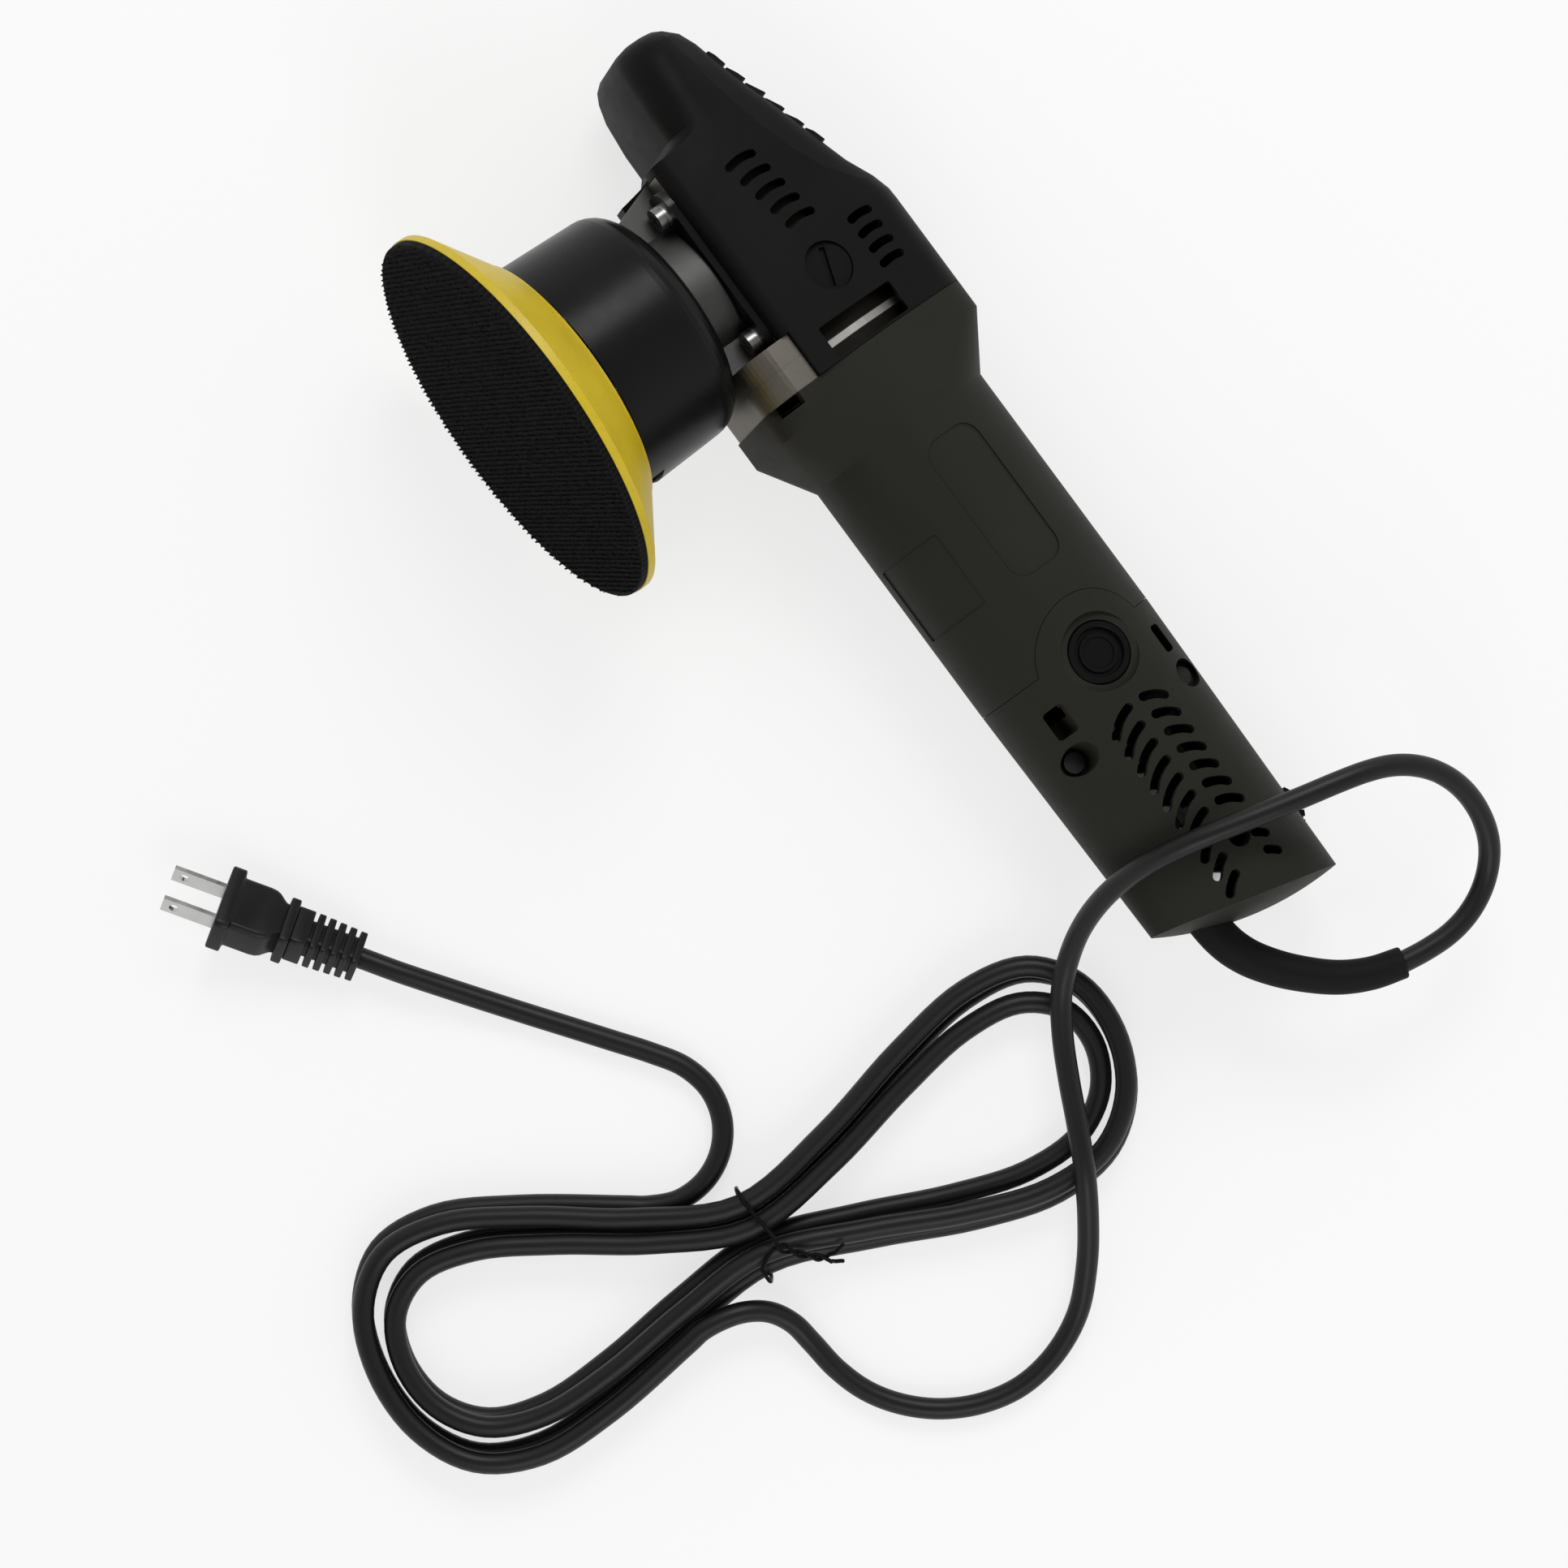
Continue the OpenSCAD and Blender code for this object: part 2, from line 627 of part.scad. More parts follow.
module gear_case() {
    gear_room_r = crown_r + 3;
    color(alloy) lying() difference() {
        union() {
            prism_x(case_front, flange_x + cut, round_rect(0, 0, 2 * case_side, 37, 9));
            block([case_front, -case_half_w, case_z], [flange_x + cut, case_half_w, -8]);
            flange_form(flange_x, plate_x);
        }
        rod_z(case_z - cut, 4, gear_room_r);
        rod_z(0, 16, needle_bearing[1] + fit);
        rod_x(0, front_bearing_x, 9.5);
        rod_x(front_bearing_x - fit, plate_x + cut, front_bearing[1] + fit);
        rod_z(shroud_top_z - 20, shroud_top_z + 0.4, shroud_r + 1);
        both_flanks() rod_y(handle_plug_x, handle_plug_z, -40, -case_side + 9,
            handle_thread_d / 2 + fit);
        for (sx = [-1, 1], sy = [-1, 1]) translate([sx * neck_screw[0], sy * neck_screw[1], 0])
            rod_z(case_z - cut, case_z + 9, neck_screw_r + fit);
    }
}

// Flange and neck that hold the spindle's lower bearing
module bearing_retainer() {
    web = [[-35.5, case_z], [-20, case_z], [-20, shroud_top_z + 0.2], [-30.5, shroud_top_z + 0.2]];
    flange_points = outline([for (sx = [-1, 1], sy = [-1, 1]) [sx * neck_screw[0], sy * neck_screw[1],
        7]], 40);
    color("#3a3a3a") lying() difference() {
        union() {
            translate([0, 0, case_z - flange_t]) linear_extrude(flange_t) polygon(flange_points);
            rod_z(neck_z, case_z, neck_r);
            rod_z(shroud_top_z + fit, case_z, neck_r + 2.4);
            prism_y(-15, 15, web);
            mirror([1, 0, 0]) intersection() {
                prism_y(-15, 15, web);
                block([-29, -20, -60], [0, 20, 0]);
            }
        }
        rod_z(spindle_bearing_z, case_z + cut, spindle_bearing[1] + fit);
        rod_z(neck_z - cut, case_z, spindle_bearing[1] - 3);
        block([flange_x - seam, -60, -60], [60, 60, 0]);
        for (sx = [-1, 1], sy = [-1, 1]) translate([sx * neck_screw[0], sy * neck_screw[1], 0]) {
            rod_z(case_z - flange_t - cut, case_z + cut, neck_screw_r + seam);
            rod_z(case_z - 30, case_z - flange_t, neck_screw_head[0] + 0.6);
        }
    }
}

module retainer_screws() {
    head_z = case_z - flange_t - washer_t;
    color(steel) lying() for (sx = [-1, 1], sy = [-1, 1])
        translate([sx * neck_screw[0], sy * neck_screw[1], 0]) difference() {
            union() {
                rod_z(head_z - neck_screw_head[1], head_z, neck_screw_head[0]);
                rod_z(head_z - cut, case_z + 8, neck_screw_r);
            }
            for (a = [0, 90]) translate([0, 0, head_z - neck_screw_head[1]]) rotate([0, 0, a])
                cube([4.4, 1, 2.4], center = true);
        }
}

module spring_washers() {
    top = case_z - flange_t;
    color(steel) lying() for (sx = [-1, 1], sy = [-1, 1])
        translate([sx * neck_screw[0], sy * neck_screw[1], 0]) difference() {
            ring_z(top - washer_t, top, neck_screw_r + seam, neck_screw_head[0] - 0.1);
            block([0, -0.4, top - 2 * washer_t], [6, 0.4, top + cut]);
        }
}

// Cup round the orbit drive, with a notch for the spanner at the tail side
module shroud() {
    shoulder = 10;
    top_r = shroud_r - 1.2;
    steps = 8;
    arc = [for (k = [0:steps]) let (a = 90 * k / steps)
        [top_r - shoulder + shoulder * cos(a), shroud_top_z - shoulder + shoulder * sin(a)]];
    core = shroud_r - shroud_wall;
    core_top = shroud_top_z - shroud_wall;
    core_arc = [for (k = [0:steps]) let (a = 90 - 90 * k / steps, r = shoulder - shroud_wall)
        [top_r - shoulder + r * cos(a), shroud_top_z - shoulder + r * sin(a)]];
    color(satin) lying() difference() {
        rotate_extrude() polygon(concat([[neck_r + fit, shroud_top_z]], [[neck_r + fit, core_top]],
            core_arc,
            [[core, shroud_rim_z]], [[shroud_r, shroud_rim_z]], arc));
        block([0, -spanner_w / 2, shroud_rim_z - cut], [shroud_r + cut, spanner_w / 2,
            shroud_rim_z + spanner_h]);
    }
}

module bearing_z(size, z) {
    ring_z(z, z + size[2], size[0] + fit, size[1]);
}

module spindle_bearing_lower() {
    color(steel) lying() bearing_z(spindle_bearing, spindle_bearing_z);
}

module spindle_bearing_upper() {
    color(steel) lying() bearing_z(needle_bearing, 5.5);
}

module oil_seal() {
    color(black) lying() ring_z(neck_z + 1, spindle_bearing_z, spindle_bearing[0] + 0.1,
        spindle_bearing[1] - 3 - fit);
}

module bearing_plate() {
    color(alloy) lying() difference() {
        flange_form(plate_x + fit, plate_end);
        rod_x(plate_x - cut, plate_end - 1, front_bearing[1] + fit);
        rod_x(plate_x, plate_end + cut, front_bearing[1] - 3);
    }
}

module bearing_x(size, x) {
    ring_x(x, x + size[2], size[0] + fit, size[1]);
}

module armature_bearing_front() {
    color(steel) lying() bearing_x(front_bearing, front_bearing_x);
}

module armature_bearing_rear() {
    color(steel) lying() bearing_x(rear_bearing, bridge_x);
}

// Barrel with its flared collar, open at both ends
module motor_housing() {
    sides = 48;
    collar = outline(collar_discs, sides);
    barrel = outline([[0, 0, barrel_r - 0.06]], sides);
    room = outline(inset(collar_discs, barrel_wall), sides);
    waist = outline([[0, 0, bore_r - 0.3]], sides);
    color(olive) lying() difference() {
        union() {
            loft_x([[housing_x, collar], [housing_x + 10, collar], [collar_end + 2, barrel]]);
            rod_x(collar_end, handle_joint - seam, barrel_r);
        }
        loft_x([[housing_x - cut, room], [housing_x + 10, room], [collar_end + 2, waist]]);
        rod_x(collar_end - 4, handle_joint + cut, bore_r);
        both_flanks() {
            rod_y(brush_x, 0, -60, 0, tongue_r + seam);
            prism_y(-60, -20, round_rect(housing_x + 2, -33.5, 4, 10, 0.5));
        }
        // Shallow places for a badge and a rating plate, left bare
        difference() {
            union() {
                prism_y(-60, -5, round_rect(109, 1.5, 52, 20, 6));
                prism_y(-60, 0, round_rect(120, -26, 27, 14, 1));
            }
            rod_x(80, 160, barrel_r - 0.5);
        }
    }
}

module stator_core() {
    gap_r = rotor_r + air_gap;
    color("#6f6f6c") lying() difference() {
        rod_x(stack_x, stack_x + stack_l, bore_r - seam);
        rod_x(stack_x - cut, stack_x + stack_l + cut, gap_r);
        both_flanks() prism_x(stack_x - cut, stack_x + stack_l + cut, [for (a = [-40:10:40])
            (bore_r - 6) * [-cos(a), sin(a)], for (a = [40:-10:-40]) (gap_r - 1) * [-cos(a), sin(a)]]);
    }
}

module stator_coils() {
    inner = rotor_r + air_gap + 2;
    color(copper) lying() for (x = [stack_x - coil_l, stack_x + stack_l]) difference() {
        ring_x(x, x + coil_l, inner, bore_r - 2.5);
        both_flanks() block([x - cut, -40, -5], [x + coil_l + cut, 0, 5]);
    }
}

module fan_baffle() {
    color(black) lying() ring_x(baffle_x, baffle_x + baffle_t, shaft_r + 10, bore_r - seam);
}

module armature_shaft() {
    color(steel) lying() {
        rod_x(pinion_hub_end - 6, pinion_hub_end, 3.4);
        rod_x(pinion_hub_end, fan_x - 4, front_bearing[0]);
        rod_x(fan_x - 4, bridge_x - 1, shaft_r);
        rod_x(bridge_x - 1, shaft_end, rear_bearing[0]);
    }
}

module rotor_core() {
    slots = 12;
    color("#5c5c5a") lying() difference() {
        ring_x(stack_x, stack_x + stack_l, shaft_r + fit, rotor_r);
        for (k = [0:slots - 1]) rotate([360 * k / slots, 0, 0])
            block([stack_x - cut, rotor_r - 2.5, -1], [stack_x + stack_l + cut, rotor_r + cut, 1]);
    }
}

module rotor_windings() {
    color(copper) lying() for (x = [stack_x - coil_l, stack_x + stack_l])
        ring_x(x, x + coil_l, shaft_r + fit, rotor_r - 3);
}

module commutator() {
    bars = 24;
    color(copper) lying() difference() {
        ring_x(commutator_x, commutator_x + commutator_l, shaft_r + fit, commutator_d / 2);
        for (k = [0:bars - 1]) rotate([360 * k / bars, 0, 0])
            block([commutator_x - cut, commutator_d / 2 - 1, -0.3],
                [commutator_x + commutator_l + cut, commutator_d / 2 + cut, 0.3]);
    }
}

module cooling_fan() {
    disc_t = 2;
    color("#2c2c2e") lying() {
        ring_x(fan_x, fan_x + disc_t, shaft_r + fit, fan_d / 2);
        ring_x(fan_x, fan_x + fan_l, shaft_r + fit, shaft_r + 4);
        for (k = [0:fan_blades - 1]) rotate([360 * k / fan_blades, 0, 0])
            block([fan_x + disc_t / 2, shaft_r + 7, -0.8], [fan_x + fan_l, fan_d / 2 - 0.5, 0.8]);
    }
}

// One bevel tooth: a four-sided wedge that runs towards the crossing of the axes
module bevel_tooth(tip, root) {
    big = [[tip[0], -tooth_tip_half, tip[1]], [tip[0], tooth_tip_half, tip[1]],
        [root[0], tooth_root_half, root[1]], [root[0], -tooth_root_half, root[1]]];
    polyhedron(concat(big, [for (p = big) tooth_taper * p]),
        [[0, 1, 2], [0, 2, 3], [6, 5, 4], [7, 6, 4], [0, 4, 5], [0, 5, 1], [1, 5, 6], [1, 6, 2],
        [2, 6, 7], [2, 7, 3], [3, 7, 4], [3, 4, 0]]);
}

module crown_gear() {
    lean = [pinion_r, crown_r] / cone_len;
    at = [crown_r, -pinion_r];
    rim = at - dedendum * lean;
    color(steel) lying() {
        rotate_extrude() polygon([[crown_bore + fit, crown_back_z], [rim[0] - 2, crown_back_z],
            [rim[0], crown_back_z + 3], rim, rim * tooth_taper, [crown_bore + fit, rim[1] * tooth_taper]]);
        for (k = [0:crown_teeth - 1]) rotate([0, 0, 360 * k / crown_teeth])
            bevel_tooth(at + addendum * lean, at - (dedendum + tooth_sink) * lean);
    }
}

module pinion() {
    lean = [-pinion_r, crown_r] / cone_len;
    at = [crown_r, pinion_r];
    rim = at - dedendum * lean;
    nose = rim * tooth_taper;
    color(steel) lying() {
        difference() {
            turned_x([[nose[0], 0], nose, rim, [rim[0] + 0.8, rim[1]], [rim[0] + 0.8, pinion_hub_r],
                [pinion_hub_end, pinion_hub_r],
                [pinion_hub_end, 0]]);
            rod_x(pinion_hub_end - 6.2, pinion_hub_end + cut, 3.4 + fit);
        }
        for (k = [0:pinion_teeth - 1]) rotate([180 + 360 * (k + 0.5) / pinion_teeth, 0, 0])
            bevel_tooth(at + addendum * lean, at - (dedendum + tooth_sink) * lean);
    }
}

module drive_spindle() {
    color(steel) lying() {
        rod_z(eccentric_top_z - spindle_seat + 0.2, case_z - 2, spindle_bearing[0]);
        rod_z(case_z - 2, 0, crown_bore);
        rod_z(crown_back_z - 3, crown_back_z, crown_bore + 3);
        rod_z(0, 15, needle_bearing[0]);
    }
}

// The plate's axis stands off the drive axis towards the upper flank
module on_plate_axis() {
    translate([0, -orbit_offset, 0]) children();
}

module eccentric_housing() {
    outer = plate_bearing[1] + eccentric_wall;
    color("#8d8d8a") lying() difference() {
        on_plate_axis() rod_z(eccentric_z, eccentric_top_z, outer);
        rod_z(eccentric_top_z - spindle_seat, eccentric_top_z + cut, spindle_bearing[0] + fit);
        on_plate_axis() rod_z(eccentric_z - cut, upper_plate_bearing_z + plate_bearing[2],
            plate_bearing[1] + fit);
    }
}

module counterweight() {
    color("#7d7a74") lying() difference() {
        rod_z(eccentric_z, eccentric_z + weight_h, weight_r);
        on_plate_axis() rod_z(eccentric_z - cut, 0, plate_bearing[1] + eccentric_wall + fit);
        block([-60, -60, -100], [60, 6, 0]);
        for (s = [-1, 1]) mirror([s < 0 ? 1 : 0, 0, 0]) translate([weight_screw_x, 0,
            eccentric_z + weight_h / 2])
            rotate([-90, 0, 0]) {
                cylinder(r = 2.05, h = 60);
                translate([0, 0, 26]) cylinder(r = 3.7, h = 40);
            }
    }
}
weight_screw_x = 9;

module counterweight_screws() {
    root_y = sqrt(pow(plate_bearing[1] + eccentric_wall, 2) - pow(weight_screw_x - 2, 2)) - orbit_offset;
    color(steel) lying() for (s = [-1, 1]) translate([s * weight_screw_x, 0, eccentric_z + weight_h / 2])
        rotate([-90, 0, 0]) {
            translate([0, 0, root_y + 0.2]) cylinder(r = 2, h = 26 - root_y);
            translate([0, 0, 26.05]) cylinder(r = 3.4, h = 3);
        }
}

module plate_bearings() {
    color(steel) lying() on_plate_axis() {
        bearing_z(plate_bearing, lower_plate_bearing_z);
        bearing_z(plate_bearing, upper_plate_bearing_z);
    }
}

module plate_spindle() {
    hex_top = eccentric_z - 0.4;
    color(steel) lying() on_plate_axis() {
        rod_z(hex_top - cut, upper_plate_bearing_z + plate_bearing[2] - 0.4, plate_bearing[0] - fit);
        translate([0, 0, plate_back_z + 2]) cylinder(r = 9.8, h = hex_top - plate_back_z - 2, $fn = 6);
        rod_z(plate_back_z - 12, plate_back_z + 2 + cut, 4);
    }
}

module plate_hub() {
    color(steel) lying() on_plate_axis() difference() {
        union() {
            rod_z(plate_back_z - hub_t, plate_back_z, hub_d / 2);
            rod_z(plate_back_z - cut, plate_back_z + 2, 10);
        }
        rod_z(plate_back_z - 10, plate_back_z + 10, 4 + fit);
        for (k = [0:rivet_count - 1]) rotate([0, 0, 360 * k / rivet_count]) translate([hub_d / 2 - 9,
            0, 0])
            rod_z(plate_back_z - 10, plate_back_z + 10, rivet_d / 2 + fit);
    }
}

module plate_rivets() {
    color(steel) lying() on_plate_axis() for (k = [0:rivet_count - 1])
        rotate([0, 0, 360 * k / rivet_count]) translate([hub_d / 2 - 9, 0, 0]) {
            rod_z(plate_back_z - 9, plate_back_z, rivet_d / 2);
            rod_z(plate_back_z + fit, plate_back_z + 1, rivet_d / 2 + 1.2);
            rod_z(plate_back_z - fit, plate_back_z + 2 * fit, rivet_d / 2);
        }
}

module backing_plate() {
    lip = 1.2;
    color("#e6d21f") lying() on_plate_axis() difference() {
        rotate_extrude() polygon([[0, cone_z], [plate_r, cone_z], [plate_r, cone_z + rim_h],
            [cone_back_d / 2 + lip, plate_back_z - lip], [cone_back_d / 2, plate_back_z], [0,
                plate_back_z]]);
        rod_z(plate_back_z - hub_t - fit, plate_back_z + cut, hub_d / 2 + fit);
        rod_z(plate_back_z - 13, plate_back_z, 7);
        for (k = [0:rivet_count - 1]) rotate([0, 0, 360 * k / rivet_count]) translate([hub_d / 2 - 9,
            0, 0])
            rod_z(plate_back_z - 9.2, plate_back_z, rivet_d / 2 + fit);
    }
}

module hook_face() {
    color(satin) lying() on_plate_axis() rod_z(hook_z, cone_z, hook_r);
}

// Rear handle: a turned shell with a domed end, split down its middle
function handle_r(x) = barrel_r + (tail_r - barrel_r) * (x - handle_joint) / (tail_x - handle_joint);
module handle_form(t, front) {
    intersection() {
        turned_x([[front, 0], [front, barrel_r - t], [handle_joint, barrel_r - t],
            [tail_x + cut, handle_r(tail_x + cut) - t], [tail_x + cut, 0]]);
        translate([tail_x - tail_dome_r, 0, tail_dome_z]) sphere(r = tail_dome_r - t, $fn = 128);
    }
}

module handle_shell() {
    front = brush_x - tongue_r - cut;
    difference() {
        union() {
            difference() {
                handle_form(0, front);
                handle_form(handle_wall, front - cut);
                difference() {
                    block([front - 2 * cut, -60, -60], [handle_joint, 60, 60]);
                    rod_y(brush_x, 0, -60, 60, tongue_r);
                }
                block([front - 2 * cut, -15, -60], [handle_joint, 15, 60]);
            }
            // Bridge round the rear bearing, brush seats, cord wall, screw posts, switch and dial seats
            intersection() {
                handle_form(handle_wall / 2, front);
                union() {
                    ring_x(bridge_x, bridge_x + rear_bearing[2], rear_bearing[1] + fit, barrel_r);
                    both_flanks() rod_y(brush_x, 0, -40, -14, spot_r - 0.9);
                    translate([0, 0, -exit_drop]) rod_x(clamp_x + 12, clamp_x + 20, sleeve_root_d / 2 + 4);
                    for (s = screw_seats) rod_y(s[0], s[1], -40, 40, s[2] + 1.7);
                    for (s = [-1, 1]) translate([0, s * (dial_t / 2 + 2.5), 0])
                        rod_y(dial_x, dial_z, -2, 2, dial_pin_r + 2.2);
                    for (s = [-1, 1]) translate([0, s * (dial_t / 2 + 2.5), 0])
                        block([dial_x - 2, -2, dial_z], [dial_x + 2, 2, 40]);
                    block([switch_x - switch_l / 2 - 2, -switch_w / 2 - 2, switch_z - 12],
                        [switch_x + switch_l / 2 + 2, switch_w / 2 + 2, 40]);
                    both_flanks() block([board_x[0], -40, board_z - 3], [board_x[1], -20, board_z]);
                    both_flanks() block([clamp_x - 3, -16, -40], [clamp_x + 3,
                        -sleeve_root_d / 2 - 1.4, clamp_z]);
                }
            }
        }
        rod_x(commutator_x - 3, bridge_x, commutator_d / 2 + 1.2);
        vents();
        both_flanks() {
            rod_y(brush_x, 0, -60, -spot_y, spot_r - 1.2);
            rod_y(brush_x, 0, -60, -spot_y + 4, brush_cap_d / 2 + seam);
            block([brush_x - holder[0] / 2 - fit, -40, -holder[1] / 2 - fit],
                [brush_x + holder[0] / 2 + fit, -10, holder[1] / 2 + fit]);
            for (s = screw_seats) rod_y(s[0], s[1], -60, -12, s[2]);
            for (s = snap_slots) prism_y(-60, -12, round_rect(s[0], s[1], s[2], s[3], 1.2));
        }
        for (s = screw_seats) rod_y(s[0], s[1], -40, 40, 1.8 + fit);
        translate([0, 0, -exit_drop]) rod_x(clamp_x - 4, tail_x + cut, sleeve_root_d / 2 + 0.25);
        block([switch_x - switch_l / 2 - fit, -switch_w / 2 - fit, 0],
            [switch_x + switch_l / 2 + fit, switch_w / 2 + fit, 60]);
        rod_y(dial_x, dial_z, -dial_t / 2 - run, dial_t / 2 + run, dial_d / 2 + 0.6);
        rod_y(dial_x, dial_z, -dial_t / 2 - 4, dial_t / 2 + 4, dial_pin_r + fit);
    }
}
clamp_z = -exit_drop + sleeve_root_d / 2 + run;
holder = [8, 11];

module vents() {
    both_flanks() for (i = [0:vent_count - 1], row = vent_rows) {
        x = vent_x + vent_pitch * i;
        near = abs(x + vent_arc_r * 0.1 - tail_hole[0]) < tail_hole_r + vent_pitch;
        a0 = near && row[0] > 0 ? row[0] + 16 : row[0];
        a1 = near && row[1] < 0 ? row[1] - 16 : row[1];
        prism_y(-60, -12, arc_slot([x + vent_arc_r, vent_z], vent_arc_r, vent_w, a0, a1));
    }
}

module rear_handle_left() {
    color(olive) lying() intersection() {
        handle_shell();
        block([100, -60, -60], [300, 0, 60]);
    }
}

module rear_handle_right() {
    color(olive) lying() intersection() {
        handle_shell();
        block([100, 0, -60], [300, 60, 60]);
    }
}

module rear_handle_screws() {
    color(steel) lying() for (s = screw_seats) {
        rod_y(s[0], s[1], -12, 11.8, 1.8);
        rod_y(s[0], s[1], -14.5, -12, tail_hole_r - 0.4);
    }
}

module brush_holders() {
    wall = 1;
    color("#b89a4a") lying() both_flanks() difference() {
        block([brush_x - holder[0] / 2, -spot_y + 4.2, -holder[1] / 2],
            [brush_x + holder[0] / 2, -commutator_d / 2 - 2, holder[1] / 2]);
        block([brush_x - holder[0] / 2 + wall, -40, -holder[1] / 2 + wall],
            [brush_x + holder[0] / 2 - wall, 0, holder[1] / 2 - wall]);
    }
}

module carbon_brushes() {
    w = holder[0] / 2 - 1 - fit;
    h = holder[1] / 2 - 1 - fit;
    color("#303032") lying() both_flanks()
        block([brush_x - w, -commutator_d / 2 - run - 9, -h], [brush_x + w, -commutator_d / 2 - run, h]);
}

// Spring behind each brush, one wire wound in even turns
module brush_springs() {
    turns = 4;
    steps = 8;
    wire = 0.5;
    coil_r = 2;
    y0 = commutator_d / 2 + run + 9 + wire + 0.1;
    y1 = spot_y - 2.6 - wire - run;
    path = [for (k = [0:turns * steps]) let (a = 360 * k / steps)
        [brush_x + coil_r * cos(a), -(y0 + (y1 - y0) * k / turns / steps), coil_r * sin(a)]];
    color(steel) lying() both_flanks() spring_wire(path, wire, 5);
}

// Tube for a coil that winds about the y axis
module spring_wire(path, r, sides) {
    axis = [brush_x, 0, 0];
    skin([for (i = [0:len(path) - 1]) let (t = heading(path, i), out = unit([path[i][0] - axis[0], 0,
        path[i][2]]),
        side = unit(out - (out * t) * t), up = cross(t, side))
        [for (k = [0:sides - 1]) let (a = 360 * k / sides) path[i] + r * (cos(a) * side + sin(a) * up)]]);
}

module brush_caps() {
    color(satin) lying() both_flanks() difference() {
        union() {
            rod_y(brush_x, 0, -spot_y - 0.4, -spot_y + 3.8, brush_cap_d / 2);
        }
        rod_y(brush_x, 0, -spot_y - cut, -spot_y + 1, brush_cap_d / 2 - 4);
        block([brush_x - brush_cap_d / 2 + 1.5, -spot_y - cut, -1.2], [brush_x + brush_cap_d / 2 - 1.5,
            -spot_y + 1.6, 1.2]);
        rod_y(brush_x, 0, -spot_y + 2.6, 0, 3.4);
    }
}

module speed_board() {
    half = sqrt(pow(handle_r(board_x[1]) - handle_wall - run, 2) - pow(board_z, 2)) - 0.2;
    color("#2f6b3a") lying() {
        block([board_x[0], -half, board_z], [board_x[1], half, board_z + 1.6]);
        block([board_x[0] + 2, -8, board_z + 1.5], [board_x[1] - 3, 2, board_z + 9]);
    }
}

// Rocker switch on the upper side of the handle
module switch_body() {
    color(black) lying() difference() {
        block([switch_x - switch_l / 2, -switch_w / 2, switch_z - 16], [switch_x + switch_l / 2,
            switch_w / 2, switch_z + 2.2]);
        block([switch_x - switch_l / 2 + 1.2, -switch_w / 2 + 1.2, switch_z - 7],
            [switch_x + switch_l / 2 - 1.2, switch_w / 2 - 1.2, switch_z + 10]);
        rod_y(switch_x, switch_z - 1, -switch_w / 2 + 0.4, switch_w / 2 - 0.4, 1 + fit);
    }
}

module switch_rocker() {
    half = switch_l / 2 - 1.2 - 0.8;
    wide = switch_w / 2 - 1.2 - run;
    color("#8c1d1d") lying() translate([switch_x, 0, switch_z - 1]) {
        rotate([0, rocker_rest, 0]) prism_y(-wide, wide, [[-half, 0.6], [-half, 3.4], [0, 4.4], [half,
            3.4], [half, 0.6], [0, -3]]);
        rod_y(0, 0, -switch_w / 2 + 0.7, switch_w / 2 - 0.7, 1);
    }
}
rocker_rest = 7;

module speed_dial() {
    grips = 20;
    color(satin) lying() difference() {
        union() {
            rod_y(dial_x, dial_z, -dial_t / 2, dial_t / 2, dial_d / 2);
            rod_y(dial_x, dial_z, -dial_t / 2 - 3.6, dial_t / 2 + 3.6, dial_pin_r);
        }
        for (k = [0:grips - 1]) translate([dial_x, 0, dial_z]) rotate([0, 360 * k / grips, 0])
            block([dial_d / 2 - 0.7, -dial_t, -0.6], [dial_d / 2 + cut, dial_t, 0.6]);
    }
}

module cord_clamp() {
    color("#8d8d8a") lying() {
        block([clamp_x - 3, -16, clamp_z], [clamp_x + 3, 16, clamp_z + 3]);
        for (s = [-1, 1]) translate([clamp_x, s * 12.6, 0]) rod_z(clamp_z + 3 - fit, clamp_z + 5, 2.4);
    }
}

module cord_sleeve() {
    color(satin) on_table() tube(smooth(sleeve_route, 2), sleeve_root_d / 2, sleeve_tip_d / 2, 12);
}

module cord_lead() {
    color(satin) on_table() tube(lead_path, cord_d / 2, cord_d / 2, 8);
}

module cord_hank() {
    color(satin) on_table() tube(hank_path, cord_d / 2, cord_d / 2, 6);
}

module cord_plug_lead() {
    color(satin) on_table() tube(plug_path, cord_d / 2, cord_d / 2, 8);
}

// Wire tie round the waist of the hank, with its two ends led off over the lead
module twist_tie() {
    half_w = hank_pitch * (hank_turns / 2 - 0.5) + cord_d / 2 + tie_d / 2 + 0.9;
    low = hank_lift - tie_d / 2 - 0.35;
    high = hank_lift + cord_d + hank_layer + tie_d / 2 + 0.35;
    mid = (low + high) / 2;
    steps = 24;
    loop = [for (k = [0:steps]) let (a = 105 + 330 * k / steps)
        hank_place(4 * k / steps - 2, half_w * super(cos(a)), mid + (high - low) / 2 * super(sin(a)))];
    first_end = [for (e = tie_ends) hank_place(e[0] - 2.2, e[1] + 1, high + e[2])];
    last_end = [for (i = [len(tie_ends) - 1:-1:0]) let (e = tie_ends[i]) hank_place(e[0] + 2.2,
        e[1] + 1, high + e[2])];
    color(black) on_table() tie_wire(concat(first_end, loop, last_end));
}
// Points of the tie's ends: along the hank, across it, above the loop
tie_ends = [[24, -18, -4], [18, -17, -1.4], [11, -12, 1.4], [5, -6, 1]];
function super(v) = sign(v) * pow(abs(v), 0.4);

module tie_wire(path) {
    skin([for (i = [0:len(path) - 1]) let (t = heading(path, i), run_dir = [cos(hank_turn),
        sin(hank_turn), 0],
        side = unit(run_dir - (run_dir * t) * t), up = cross(t, side))
        [for (k = [0:5]) let (a = 60 * k) path[i] + tie_d / 2 * (cos(a) * side + sin(a) * up)]]);
}

